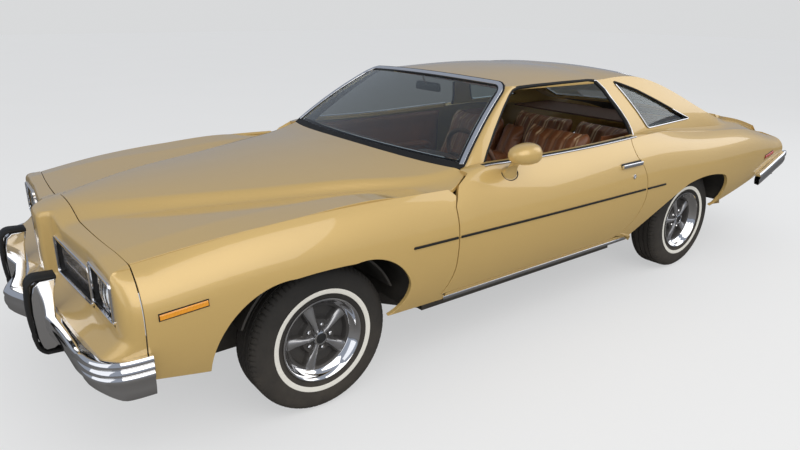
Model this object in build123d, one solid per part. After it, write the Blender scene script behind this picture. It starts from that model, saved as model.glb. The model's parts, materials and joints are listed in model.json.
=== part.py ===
from build123d import *
import os
from math import asin, cos, radians, sin

# A two-door American muscle car of the middle 1970s, at its real size in millimetres.
# +X points forward, +Y to the driver's side (left) and +Z up. The origin is on the ground,
# at the centre of the car's box.

# Wheels and axles
wheelbase = 2845.0
axle_midpoint = 96.5          # halfway between the axles, ahead of the origin
front_track = 1562.0
rear_track = 1542.0
tyre_radius = 335.0
tyre_width = 205.0
tyre_bead_radius = 176.0
rim_radius = 188.0
rim_width = 172.0
hub_radius = 62.0
spoke_count = 5
brake_radius = 138.0
kingpin_inset = 95.0          # steering axis, inboard of the wheel's middle
seat_gap = 0.3                # between pieces that turn against each other

# Panels and walls
panel_gap = 8.0
fender_wall = 45.0
door_wall = 95.0
top_wall = 28.0
glass_thickness = 5.0
tyre_room = 28.5              # from a rear tyre to the wheelhouse beside it
floor_thickness = 12.0

# Places along the car
front_axle = axle_midpoint + wheelbase / 2
rear_axle = axle_midpoint - wheelbase / 2
nose_seam = front_axle + 736.0      # where hood and fenders meet the nose panel
door_front = 848.0
door_rear = -665.0
cowl_x = 822.0                      # the hood's rear edge on the centre line
tail_x = rear_axle - 1190.0         # the rear face of the quarter panels

# Heights
sill_z = 366.0
door_bottom = 404.0
belt_z = 972.0
roof_z = 1362.0
floor_z = 300.0
bumper_z = 468.0
cowl_z = 910.0
trunk_z = 503.0

rear_wall_y = (rear_track - tyre_width) / 2 - tyre_room      # inner face of the rear wheelhouses


def lay_xy(z):
    return lambda a, b: Vector(a, b, z)


def lay_xz(y):
    return lambda a, b: Vector(a, y, b)


def lay_yz(x):
    return lambda a, b: Vector(x, a, b)


def closed_wire(place, items):
    """Closed outline. An item (a, b) is a straight run to that point, and an item
    ((c, d), (a, b)) is an arc through the first point to the second."""
    here, edges = items[0], []
    for item in [*items[1:], items[0]]:
        if isinstance(item[0], tuple):
            via, end = item
            edges.append(Edge.make_three_point_arc(place(*here), place(*via), place(*end)))
            here = end
        elif item != here:
            edges.append(Edge.make_line(place(*here), place(*item)))
            here = item
    return Wire(edges)


def side_prism(items, y0, y1):
    face = Face(closed_wire(lay_xz(y0), items))
    return Solid.extrude(face, Vector(0, y1 - y0, 0))


def plan_prism(items, z0, z1):
    face = Face(closed_wire(lay_xy(z0), items))
    return Solid.extrude(face, Vector(0, 0, z1 - z0))


def front_prism(items, x0, x1):
    face = Face(closed_wire(lay_yz(x0), items))
    return Solid.extrude(face, Vector(x1 - x0, 0, 0))


def block(x, y, z):
    """Box from three pairs of limits."""
    size = [high - low for low, high in (x, y, z)]
    middle = [(high + low) / 2 for low, high in (x, y, z)]
    return Pos(*middle) * Box(*size)


def rod(start, end, radius):
    start, end = Vector(*start), Vector(*end)
    return Solid.make_cylinder(radius, (end - start).length, Plane(start, z_dir=end - start))


def mirrored(shape):
    return mirror(shape, about=Plane.XZ)


def both(shape):
    return [shape, mirrored(shape)]


def save(shapes, name):
    shapes = shapes if isinstance(shapes, list) else [shapes]
    solids = [solid for shape in shapes for solid in shape.solids()]
    for solid in solids:
        solid.label = name
    shape = solids[0] if len(solids) == 1 else Compound(solids)
    shape.label = name
    export_step(shape, f"parts/{name}.step")


def upright_bulge(end_y, end_z, wide_y, wide_z):
    """Middle of the arc that leaves the widest point straight up or down and ends at the
    given point."""
    inset, height = wide_y - end_y, end_z - wide_z
    radius = (inset**2 + height**2) / (2 * inset)
    half = asin(height / radius) / 2
    return (wide_y - radius + radius * cos(half), wide_z + radius * sin(half))


# Sections of the body's side: distance along the car, then the sill, the widest point and
# the top edge as (out, up), then the wall's thickness. The top edge is the hood's crease on
# the fender, the belt on the door and the crest on the quarter panel.
#   x, sill_y, sill_z, wide_y, wide_z, edge_y, edge_z, wall
FRONT_SECTIONS = [
    (nose_seam, 885, 415, 935, 660, 821, 845, fender_wall),
    (front_axle + 430, 900, 385, 957, 685, 858, 887, fender_wall),
    (front_axle + 30, 905, 370, 974, 700, 878, 914, fender_wall),
    (front_axle - 370, 908, sill_z, 983, 700, 896, 918, fender_wall),
    (door_front - 48, 910, sill_z, 985, 700, 899, 908, fender_wall),
]
REAR_SECTIONS = [
    (door_front + 24, 910, sill_z, 985, 700, 902, 904, door_wall),
    (door_front - 148, 910, sill_z, 986, 700, 880, 965, door_wall),
    (door_front - 340, 910, sill_z, 987, 700, 871, 974, door_wall),
    (door_front - 840, 910, sill_z, 985, 700, 870, 967, door_wall),
    (door_rear + 85, 910, sill_z, 978, 702, 870, 978, door_wall),
    (rear_axle + 400, 908, sill_z + 10, 975, 706, 852, 978, door_wall),
    (rear_axle + 50, 912, 385, 975, 706, 842, 945, door_wall),
    (rear_axle - 350, 915, 418, 970, 706, 842, 914, door_wall),
    (rear_axle - 780, 915, 500, 955, 705, 840, 876, door_wall),
    (tail_x, 890, 610, 925, 690, 812, 775, door_wall),
]


def side_section(x, sill_y, low_z, wide_y, wide_z, edge_y, edge_z, wall):
    sill, edge = (sill_y, low_z), (edge_y, edge_z)
    return closed_wire(lay_yz(x), [
        sill,
        (upright_bulge(*sill, wide_y, wide_z), (wide_y, wide_z)),
        (upright_bulge(*edge, wide_y, wide_z), edge),
        (edge_y - wall, edge_z),
        (wide_y - wall, wide_z),
        (sill_y - wall, low_z),
    ])


def side_wall(sections):
    return Solid.make_loft([side_section(*row) for row in sections], False)


# Sections of the hood: distance along the car, then (out, up) of the side edge, the crest,
# the foot of the raised middle and its top edge, and the height of the centre line.
#   x, edge_y, edge_z, crest_y, crest_z, foot_y, foot_z, ridge_y, ridge_z, middle_z
HOOD_SECTIONS = [
    (nose_seam, 821, 845, 700, 857, 249, 858, 130, 892, 902),
    (front_axle + 430, 858, 887, 700, 894, 350, 872, 300, 915, 930),
    (front_axle + 30, 878, 914, 700, 908, 500, 884, 460, 925, 948),
    (front_axle - 370, 896, 918, 760, 912, 650, 893, 620, 937, 968),
    (door_front - 28, 900, 908, 850, 914, 800, 927, 770, 950, 990),
    (door_front - 158, 845, 960, 835, 963, 825, 968, 812, 976, 1003),
]


def hood_section(x, edge_y, edge_z, crest_y, crest_z, foot_y, foot_z, ridge_y, ridge_z, middle_z):
    """Closed section of the hood, a panel of even thickness."""
    edge = (edge_y - panel_gap / 2, edge_z)
    half = [edge, (crest_y, crest_z), (foot_y, foot_z), (ridge_y, ridge_z)]
    under = [(y, z - top_wall) for y, z in half]
    return closed_wire(lay_yz(x), [
        *half,
        ((0, middle_z), (-ridge_y, ridge_z)),
        *[(-y, z) for y, z in half[::-1][1:]],
        *[(-y, z) for y, z in under],
        ((0, middle_z - top_wall), (ridge_y, ridge_z - top_wall)),
        *under[::-1][1:],
    ])


def hood_room(x, edge_y, edge_z, *rest):
    """Closed section of the room that the hood's edge needs beside the doors."""
    out, low, high = edge_y + panel_gap / 2, edge_z - top_wall - panel_gap, edge_z + 120
    return closed_wire(lay_yz(x), [(out, low), (out, high), (500, high), (500, low)])


# Sections of the rear deck: distance along the car, then (out, up) of the crest and of the
# lid's side, and the height of the centre line.
#   x, crest_y, crest_z, lid_y, lid_z, middle_z
DECK_SECTIONS = [
    (rear_axle - 395, 842, 911, 715, 968, 1000),
    (rear_axle - 780, 840, 876, 712, 921, 950),
    (rear_axle - 1050, 832, 820, 708, 860, 890),
    (tail_x, 812, 775, 700, 812, 845),
]


def deck_section(x, crest_y, crest_z, lid_y, lid_z, middle_z):
    return closed_wire(lay_yz(x), [
        (crest_y, crest_z), (lid_y, lid_z), ((0, middle_z), (-lid_y, lid_z)), (-crest_y, crest_z),
        (-crest_y, crest_z - top_wall), (-lid_y, lid_z - top_wall),
        ((0, middle_z - top_wall), (lid_y, lid_z - top_wall)), (crest_y, crest_z - top_wall),
    ])


# Outlines seen from the side or from above
def door_outline(grow=0.0):
    """Outline of a door, or of its hole, which is larger by the gap all round."""
    ahead, behind, low = door_front + grow, door_rear - grow, door_bottom - grow
    return [
        (ahead - 148, belt_z + 40), (ahead - 148, belt_z), (ahead - 48, 919),
        (ahead - 22, 872), (ahead, 835), (ahead, 570),
        ((ahead + 10, 500), (ahead + 57, low)),
        (behind + 245, low),
        ((behind + 70, 492), (behind, 620)),
        ((behind + 10, 760), (behind + 50, 852)),
        ((behind + 88, 905), (behind + 55, belt_z + 40)),
    ]


front_arch = [
    (front_axle + 511, 200), (front_axle + 505, 372),
    ((front_axle + 405, 615), (front_axle + 160, 697)),
    ((front_axle + 25, 702), (front_axle - 107, 698)),
    ((front_axle - 315, 648), (front_axle - 404, 536)),
    ((front_axle - 388, 440), (front_axle - 305, 380)),
    (front_axle - 305, 200),
]
rear_arch = [
    (rear_axle + 730, 200), (rear_axle + 730, 362),
    ((rear_axle + 460, 520), (rear_axle + 180, 642)),
    ((rear_axle - 20, 664), (rear_axle - 280, 636)),
    ((rear_axle - 352, 570), (rear_axle - 250, 410)),
    (rear_axle - 250, 200),
]


def lid_outline(grow=0.0):
    """Outline of the trunk lid from above, or of its hole."""
    ahead, half = rear_axle - 465 + grow, 690 + grow
    return [(ahead, half), ((ahead - 20, 0), (ahead, -half)), (tail_x - 60, -half), (tail_x - 60, half)]


def make_deck_frame(deck):
    """Surround of the trunk lid, with the gutter that the shut lid rests over."""
    def ring(outer, inner):
        return plan_prism(lid_outline(outer), 600, 1100) - plan_prism(lid_outline(inner), 600, 1100)

    frame = deck - plan_prism(lid_outline(panel_gap), 600, 1100)
    lap = (Pos(0, 0, 2 - top_wall) * deck) & ring(panel_gap + 16, panel_gap)
    lip = (Pos(0, 0, -top_wall - seat_gap) * deck) & ring(panel_gap + 8, -14)
    return frame + lap + lip


def hood_outline(back=0.0):
    """Outline of the hood from above; its rear arc can be set back for what lies behind."""
    ahead, corner = nose_seam - panel_gap, door_front - 148 - back
    return [
        (ahead, -1000), (ahead, 1000), (corner, 1000), (corner, 815),
        ((cowl_x - back, 0), (corner, -815)), (corner, -1000),
    ]


def wheel_room(x, track, inset, reach, low):
    """Room for a tyre inside the wall of the body's side."""
    kingpin_y = track / 2 - inset
    if inset == 0:
        room = rod((x, 500, tyre_radius), (x, reach, tyre_radius), tyre_radius + panel_gap + 22)
        return room & block((x - 500, x + 500), (500, reach), (low, 1000))
    room = rod((x, kingpin_y, 200), (x, kingpin_y, 2 * tyre_radius), tyre_radius + panel_gap + 37)
    return room & (block((x - 500, x + 500), (500, reach), (low, 1000))
                   + block((x - 500, x + 500), (500, 1000), (low, tyre_radius + 105)))


def make_sides(hood_body):
    """Fenders, doors and the side walls of the body shell, on the left. The hood's edge rests
    over a ledge on the fender, and keeps the panel gap beside it."""
    front, rear = side_wall(FRONT_SECTIONS), side_wall(REAR_SECTIONS)
    room = Solid.make_loft([hood_room(*row) for row in HOOD_SECTIONS], False)
    door_cut = side_prism(door_outline(), 600, 1100)
    door_hole = side_prism(door_outline(panel_gap), 600, 1100)
    jamb = side_prism(door_outline(panel_gap + 12), 600, 898)
    rocker_end = REAR_SECTIONS[0][0]
    behind = block((door_front - 100, rocker_end), (600, 1100), (300, door_bottom + 20))
    fender = front - door_hole - side_prism(front_arch, 600, 1100) - behind
    for shift in ((0, -seat_gap), (panel_gap, -seat_gap), (panel_gap, top_wall - panel_gap)):
        fender = fender - Pos(0, *shift) * hood_body
    fender = fender - wheel_room(front_axle, front_track, kingpin_inset, 896, 200)
    door = (rear & door_cut) - room
    quarter = rear - door_hole - jamb - side_prism(rear_arch, 600, 1100)
    quarter = quarter - block((door_front - 100, 1200), (600, 1100), (door_bottom - panel_gap, 1100))
    quarter = quarter - block((rocker_end - seat_gap, 1200), (600, 1100), (0, 1100))
    quarter = quarter - wheel_room(rear_axle, rear_track, 0, 896, 200)
    return fender, door, quarter + make_striker(door)


def make_striker(door):
    """Stop on the door's rear pillar, against the inner face of the shut door."""
    inner = REAR_SECTIONS[5][3] - door_wall
    stop = block((door_rear - 60, door_rear + 40), (inner - 30, inner - seat_gap), (690, 714))
    stop = stop - Pos(0, -seat_gap, 0) * door
    return stop + block((door_rear - 60, door_rear - 25), (inner - 30, inner + 10), (690, 714))


# The cabin's upper part: windscreen, roof and rear window are three prisms that meet
screen_base_x, screen_corner_x, screen_top_x = 792.0, 690.0, 262.0
screen_base_z, screen_top_z = belt_z + 13, roof_z - 28
cabin_middle_z = belt_z + 0.56 * (roof_z - 72 - belt_z)
back_base_x, back_corner_x, back_top_x = rear_axle - 440, rear_axle - 360, -950.0
pillar_wall = 45.0
roof_wall = 30.0


def cabin_form(inset=0.0, drop=0.0):
    """The closed form of the upper cabin, or its inside at the given inset."""
    low = 900.0
    front_run = screen_base_x - screen_top_x
    rise = screen_top_z - screen_base_z
    profile = side_prism([
        (screen_base_x + 140, screen_base_z - 140 * rise / front_run),
        (screen_top_x, screen_top_z - drop),
        ((-300, roof_z - drop), (back_top_x + inset, roof_z - 34 - drop)),
        ((rear_axle + 60, roof_z - 150 - drop), (back_base_x + inset, belt_z + 28 - drop)),
        (back_base_x - 60 + inset, low - 100), (screen_base_x + 140, low - 100),
    ], -1000, 1000)
    across = front_prism([
        (835 - inset, low - 60), (812 - inset, belt_z),
        ((726 - inset, cabin_middle_z), (632 - inset, roof_z - 72)),
        ((600 - inset, roof_z - 44 - drop), (560 - inset, roof_z - 34 - drop)),
        ((0, roof_z + 2 - drop), (-560 + inset, roof_z - 34 - drop)),
        ((-600 + inset, roof_z - 44 - drop), (-632 + inset, roof_z - 72)),
        ((-726 + inset, cabin_middle_z), (-812 + inset, belt_z)),
        (-835 + inset, low - 60),
    ], -2500, 1500)
    face = Face(closed_wire(lay_xy(low - 60), [
        (screen_corner_x + (screen_base_z - low + 60) * front_run / rise - inset, 812),
        ((screen_base_x + (screen_base_z - low + 60) * front_run / rise - inset, 0),
         (screen_corner_x + (screen_base_z - low + 60) * front_run / rise - inset, -812)),
        (-4000, -3000), (-4000, 3000),
    ]))
    slope = Solid.extrude(face, Vector(-front_run, 0, rise) * 1.6)
    return profile & across & slope


def window_cuts():
    """Openings of the windscreen, the rear window, both doors and both quarter windows."""
    screen = front_prism([
        (770, screen_base_z + 6), ((690, cabin_middle_z), (585, roof_z - 66)), (545, roof_z - 50),
        (-545, roof_z - 50), (-585, roof_z - 66), ((-690, cabin_middle_z), (-770, screen_base_z + 6)),
    ], screen_top_x + 20, 1200)
    back = front_prism([
        (600, belt_z + 36), (470, roof_z - 77), (-470, roof_z - 77), (-600, belt_z + 36),
    ], -2400, back_top_x - 20)
    door = side_prism([
        (570, belt_z - 60), (552, belt_z), (182, roof_z - 64), (-546, roof_z - 60), (-700, belt_z + 23),
        (-700, belt_z - 60),
    ], 560, 900)
    quarter = side_prism([(-745, roof_z - 90), (-1380, belt_z + 48), (-880, belt_z + 31)], 560, 900)
    return screen, back, [door, mirrored(door)], [quarter, mirrored(quarter)]


# Glass sits in the middle of the wall of the cabin form
def make_glass():
    screen_cut, back_cut, _, quarter_cuts = window_cuts()
    pane = cabin_form(12, 12) - cabin_form(12 + glass_thickness, 12 + glass_thickness)
    pane = pane - block((-2500, 1200), (-1000, 1000), (0, 990))
    screen = pane & screen_cut
    back = pane & back_cut
    quarters = [pane & cut for cut in quarter_cuts]
    return screen, back, quarters


def make_shell(quarter_left, deck_frame):
    """Quarter panels, rockers, pillars, roof and the deck's surround, one welded shell."""
    upper = cabin_form() - cabin_form(pillar_wall, roof_wall)
    screen_cut, back_cut, door_cuts, quarter_cuts = window_cuts()
    for cut in [screen_cut, back_cut, *door_cuts, *quarter_cuts]:
        upper = upper - cut
    upper = upper - block((-2500, 1200), (-1000, 1000), (0, cowl_z + seat_gap))
    upper = upper - plan_prism(hood_outline(panel_gap), 700, 1100)
    hole = side_prism(door_outline(panel_gap + 12), 600, 1100)
    hole = hole & block((-1000, 1000), (600, 1100), (0, belt_z + panel_gap))
    upper = upper - hole - mirrored(hole)
    return upper + quarter_left + mirrored(quarter_left) + deck_frame


# The nose panel with its prow, grille openings and lamp pockets
prow_x = nose_seam + 165
grille_x = nose_seam + 118
lamp_face_x = nose_seam + 84
nose_low = 560.0
grille_y = (118.0, 552.0)
grille_heights = (606.0, 778.0)
lamp_y = (584.0, 840.0)
lamp_heights = (637.0, 800.0)
lamp_centre = (712.0, 722.0)
lamp_radius = 78.0


def nose_section(x, drop, inset=0.0):
    edge = 935 - drop
    return closed_wire(lay_yz(x), [
        (0, 900 - drop - inset), (130, 892 - drop - inset), (249, 858 - drop - inset),
        (700, 857 - drop - inset), (821 - inset, 845 - drop - inset),
        (edge - inset, 770 - inset), (edge - inset, 660), (edge - 25 - inset, nose_low - 1),
        (0, nose_low - 1),
    ])


def make_nose():
    """The moulded nose between hood, fenders and bumper."""
    start = nose_seam + seat_gap
    form = Solid.make_loft([nose_section(start, 0), nose_section(prow_x + 20, 32)], True)
    plan = plan_prism([
        (start - 5, -5), (prow_x, -5), (prow_x, 78), (grille_x, 112),
        (lamp_face_x, 575), (lamp_face_x - 8, 845), (start + 4, 940), (start - 5, 940),
    ], 500, 1000)
    hollow = Solid.make_loft([nose_section(start - 1, 0, 26), nose_section(start + 55, 12, 26)], True)
    half = (form & plan) - (hollow & block((start - 2, start + 56), (90, 1000), (600, 1000)))
    half = half - block((start - 2, start + 56), (-10, 912), (nose_low + 22, 700))
    half = half - block((start - 2, prow_x), grille_y, grille_heights)
    half = half - block((start - 2, prow_x), lamp_y, lamp_heights)
    half = half & block((start - 1, prow_x + 50), (0, 1000), (nose_low, 1000))
    return half + mirrored(half)


def make_grille():
    """One grille on each side: a bright frame with upright bars."""
    (y0, y1), (z0, z1) = grille_y, grille_heights
    y0, y1, z0, z1 = y0 + seat_gap, y1 - seat_gap, z0 + seat_gap, z1 - seat_gap
    face = nose_seam + 70
    frame = block((face - 20, face + 12), (y0, y1), (z0, z1))
    frame = frame - block((face - 30, face + 20), (y0 + 12, y1 - 12), (z0 + 12, z1 - 12))
    count = 14
    step = (y1 - y0 - 24) / count
    for index in range(1, count):
        middle = y0 + 12 + index * step
        frame = frame + block((face - 18, face + 2), (middle - 3, middle + 3), (z0 + 10, z1 - 10))
    return both(frame)


def make_lamps():
    """Square bezels, each round a single round lamp."""
    (y0, y1), (z0, z1) = lamp_y, lamp_heights
    face = lamp_face_x - 16
    centre_y, centre_z = lamp_centre
    bezel = block((face - 40, face + 10), (y0 + seat_gap, y1 - seat_gap), (z0 + seat_gap, z1 - seat_gap))
    hole = rod((face - 60, centre_y, centre_z), (face + 40, centre_y, centre_z), lamp_radius)
    lens = rod((face - 35, centre_y, centre_z), (face, centre_y, centre_z), lamp_radius - seat_gap)
    return both(bezel - hole), both(lens)


# Bumpers stand off the body on brackets
front_tip = front_axle + 1115
rear_tip = rear_axle - 1308


def make_front_bumper():
    half = [
        (front_tip, 0), ((front_tip - 75, 260), (front_tip - 140, 560)), (front_tip - 150, 780),
        ((front_tip - 180, 905), (front_tip - 265, 950)), (front_tip - 390, 957),
    ]
    back = [(front_tip - 390, 938), (front_tip - 270, 925), (front_tip - 215, 780),
            (front_tip - 205, 540), (front_tip - 70, 0)]
    bar = plan_prism([*half, *back], bumper_z - 35, bumper_z + 65)
    ends = plan_prism([*half, *back], bumper_z - 95, bumper_z + 80)
    ends = ends & block((front_tip - 500, front_tip), (690, 1000), (0, 1000))
    ends = ends & side_prism([
        (front_tip - 500, bumper_z - 95), (front_tip - 230, bumper_z - 95),
        (front_tip - 120, bumper_z - 35), (front_tip - 120, bumper_z + 100),
        (front_tip - 500, bumper_z + 100),
    ], 600, 1000)
    side = bar + ends
    bracket = block((front_axle + 760 + seat_gap, front_tip - 140), (400, 470), (403, 450))
    bracket = bracket + block((front_axle + 760 + seat_gap, front_axle + 780), (400, 470), (frame_low, 450))
    side = side + bracket
    return side + mirrored(side)


def make_guards():
    """Upright bumper guards with their rubber faces."""
    x = front_tip - 130
    outline = [(x - 10, 385), (x + 36, 385), ((x + 44, 520), (x + 20, 655)), (x - 60, 690), (x - 60, 600)]
    guard = side_prism(outline, 298, 362) - make_front_bumper()
    biggest = max(guard.solids(), key=lambda solid: solid.volume)
    return both(biggest)


def make_rear_bumper():
    half = [
        (rear_tip, 0), ((rear_tip + 10, 450), (rear_tip + 34, 820)),
        ((rear_tip + 55, 925), (rear_tip + 130, 957)), (rear_tip + 420, 960),
    ]
    back = [(rear_tip + 420, 940), (rear_tip + 145, 936), (rear_tip + 105, 820), (rear_tip + 60, 0)]
    bar = plan_prism([*half, *back], 425, 640)
    slope = side_prism([
        (rear_tip - 10, 455), (rear_tip - 10, 640), (rear_tip + 100, 640), (rear_tip + 112, 600),
        (rear_tip + 420, 485), (rear_tip + 390, 430), (rear_tip + 140, 515), (rear_tip + 110, 455),
    ], -10, 1000)
    side = bar & slope
    return side + mirrored(side)


def make_tail():
    """Tail panel between the quarters, its lamps and the lower valance."""
    x = tail_x
    panel = front_prism([
        (806, 648), (806, 770), (700, 798), ((0, 830), (-700, 798)), (-806, 770), (-806, 648),
    ], x - 24, x - seat_gap)
    panel = panel - block((x - 30, x - 12), (330, 780), (668, 756))
    panel = panel - block((x - 30, x - 12), (-780, -330), (668, 756))
    lamp = block((x - 34, x - 12.3), (332, 778), (670, 754))
    return panel, both(lamp)


# Wheels and tyres, first with their axle along Y through the origin, outer face at +Y
def make_wheel():
    half = rim_width / 2
    lip, bead, well, wall = rim_radius, tyre_bead_radius, 150.0, 6.0
    profile = [
        (lip, half), (bead, half - 10), (bead, 50), (well + wall, 35), (well + wall, -40),
        (bead, -60), (bead, -half + 10), (lip, -half), (bead - wall, -half + 4), (bead - wall, -62), (well, -44),
        (well, 38), (bead - wall - 2, 55), (bead - wall, half - 4),
    ]
    face = Face(Wire.make_polygon([Vector(r, w, 0) for r, w in profile], close=True))
    rim = revolve(face, axis=Axis.Y)
    disc = rod((0, 20, 0), (0, 56, 0), hub_radius)
    cap = rod((0, 50, 0), (0, 78, 0), 28)
    spokes = []
    for index in range(spoke_count):
        spoke = plan_prism([(45, 22), (45, 56), ((100, 60), (152, 46)), (172, 40), (172, 22)], -24, 24)
        taper = front_prism([(22, -24), (70, -24), (70, 24), (22, 24)], 45, 172)
        spokes.append(Rot(0, index * 360 / spoke_count, 0) * (spoke & taper))
    wheel = rim + disc + cap
    for spoke in spokes:
        wheel = wheel + spoke
    wheel = wheel & rod((0, -200, 0), (0, 200, 0), rim_radius)
    return wheel


def make_tyre():
    half = tyre_width / 2
    bead_half = rim_width / 2 - 11
    profile = [
        (tyre_bead_radius + seat_gap, bead_half), (215, half - 6), (262, half), (315, half - 12),
        (tyre_radius, half - 32), (tyre_radius, -half + 32), (315, -half + 12), (262, -half),
        (215, -half + 6), (tyre_bead_radius + seat_gap, -bead_half),
    ]
    face = Face(Wire.make_polygon([Vector(r, w, 0) for r, w in profile], close=True))
    return revolve(face, axis=Axis.Y)


def make_knuckle():
    """Brake disc, hub boss and the upright between the ball joints, centred as a wheel."""
    disc = rod((0, -78, 0), (0, -56, 0), brake_radius)
    boss = rod((0, -78, 0), (0, 20 - seat_gap, 0), 55)
    upright = block((-18, 18), (-kingpin_inset - 17, -70), knuckle_reach)
    return disc + boss + upright


knuckle_reach = (-145.0, 142.0)       # ball joints below and above the hub


def make_front_arms():
    """Lower and upper arms of one front wheel, from the frame to the knuckle's ends."""
    y, x = front_track / 2 - kingpin_inset, front_axle
    low = tyre_radius + knuckle_reach[0] - seat_gap
    high = tyre_radius + knuckle_reach[1] + seat_gap
    lower = plan_prism([
        (x - 18, y + 20), (x + 18, y + 20), (x + 110, 470 + seat_gap), (x - 110, 470 + seat_gap),
    ], low - 16, low)
    upper = plan_prism([
        (x - 18, y + 20), (x + 18, y + 20), (x + 90, 470 + seat_gap), (x - 90, 470 + seat_gap),
    ], high, high + 16)
    return lower, upper


frame_top = floor_z - seat_gap
frame_low = floor_z - 100
rail_in, rail_out = 605.0, 685.0


def make_frame():
    """Perimeter frame with its cross-members, kicked up over the rear axle, and the rear
    rails that carry on under the trunk."""
    x0, x1 = front_axle + 760, front_axle - 620
    half = block((x1 - 40, x0), (400, 470), (frame_low, frame_top))
    half = half + plan_prism([
        (x1 + 60, 400), (x1 + 60, 470), (x1 - 110, rail_out), (x1 - 110, rail_in), (x1 - 60, 400),
    ], frame_low, frame_top)
    half = half + block((rear_axle + 560, x1 - 80), (rail_in, rail_out), (frame_low, frame_top))
    half = half + plan_prism([
        (rear_axle + 600, rail_in), (rear_axle + 600, rail_out), (rear_axle + 420, 540),
        (rear_axle + 420, 470),
    ], frame_low, frame_top)
    kick = side_prism([
        (rear_axle + 470, frame_low), (rear_axle + 470, frame_top), (rear_axle + 300, frame_top),
        (rear_axle + 180, 560), (rear_axle - 395, 560), (rear_axle - 505, 500), (rear_axle - 1230, 500),
        (rear_axle - 1230, 410), (rear_axle - 600, 410), (rear_axle - 380, 480),
        (rear_axle + 160, 480), (rear_axle + 330, frame_low),
    ], 470, 540)
    half = half + kick
    tower = block((front_axle - 95, front_axle + 95), (400, 470), (frame_top - 1, 530))
    half = half + tower
    cross = block((front_axle - 60, front_axle + 60), (-1, 401), (frame_low, frame_low + 60))
    middle = block((230, 300), (-1, rail_in + 1), (frame_low, frame_low + 40))
    rear = block((rear_axle - 1100, rear_axle - 1040), (-1, 471), (420, 480))
    axle_cross = block((rear_axle + 100, rear_axle + 170), (-1, 471), (500, 560))
    half = half + cross + middle + rear + axle_cross
    half = half - Pos(seat_gap, 0, 0) * rear_bumper
    whole = half + mirrored(half)
    joint_x = rear_axle - 505
    rear = whole & block((joint_x - 1000, joint_x - seat_gap), (-800, 800), (0, 1000))
    return whole & block((joint_x, joint_x + 5000), (-800, 800), (0, 1000)), rear


def make_rear_axle():
    """Axle tube, differential housing and drum brakes."""
    y = rear_track / 2
    tube = rod((rear_axle, -y + 20, tyre_radius), (rear_axle, y - 20, tyre_radius), 38)
    case = Pos(rear_axle, 0, tyre_radius) * Sphere(135)
    case = case & block((rear_axle - 110, rear_axle + 135), (-140, 140), (200, 480))
    pinion = rod((rear_axle, 0, tyre_radius), (rear_axle + 230, 0, tyre_radius), 48)
    axle = tube + case + pinion
    for side in (-1, 1):
        drum = rod((rear_axle, side * (y - 80), tyre_radius), (rear_axle, side * (y - 15), tyre_radius), 132)
        hub = rod((rear_axle, side * (y - 60), tyre_radius), (rear_axle, side * (y + 20 - seat_gap), tyre_radius), 52)
        axle = axle + drum + hub
    return axle


def make_rear_links():
    """Lower control arms and coil springs between the frame and the axle."""
    arm = side_prism([
        (rear_axle - 40, 250), (rear_axle - 40, 296.7), (rear_axle + 40, 296.7),
        (rear_axle + 520, 290), (rear_axle + 520, 250),
    ], 420, 470 - seat_gap)
    spring = rod((rear_axle + 5, 500, 373.3), (rear_axle + 5, 500, 479.7), 55)
    return both(arm), both(spring)


def make_driveline():
    """Gearbox and the shaft back to the axle."""
    x = front_axle - 345
    box_x = x - 640
    gearbox = Solid.make_loft([
        Wire.make_polygon([Vector(x, y, z) for y, z in
                           ((-190, 230), (190, 230), (190, 520), (-190, 520))], close=True),
        Wire.make_polygon([Vector(box_x, y, z) for y, z in
                           ((-80, 245), (80, 245), (80, 384), (-80, 384))], close=True),
    ], True)
    shaft = rod((box_x - 3 * seat_gap, 0, 316), (rear_axle + 230 + 3 * seat_gap, 0, tyre_radius), 36)
    return gearbox, shaft


def make_engine():
    x = front_axle - 345 + seat_gap
    return block((x, x + 560), (-270, 270), (frame_low + 60 + seat_gap, 800))


def make_radiator():
    x = nose_seam - 60
    return block((x - 45, x), (-380, 380), (frame_top + 20, 790)) + block(
        (x - 80, x + 20), (-400 + seat_gap, 400 - seat_gap), (frame_top - 40, frame_top + 21))


def make_exhaust():
    """Twin pipes with mufflers."""
    x0, x1 = front_axle - 300, rear_axle + 420
    z = frame_low + 40 + 26 + seat_gap
    pipe = rod((x0, 300, z), (x1, 300, z), 26)
    muffler = block((x1 - 20, x1 + 440), (225, 365), (z - 62, z + 30))
    return both(pipe + muffler)


def make_tank():
    return block((rear_axle - 980, rear_axle - 420), (-420, 420), (322, trunk_z - seat_gap))


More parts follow.
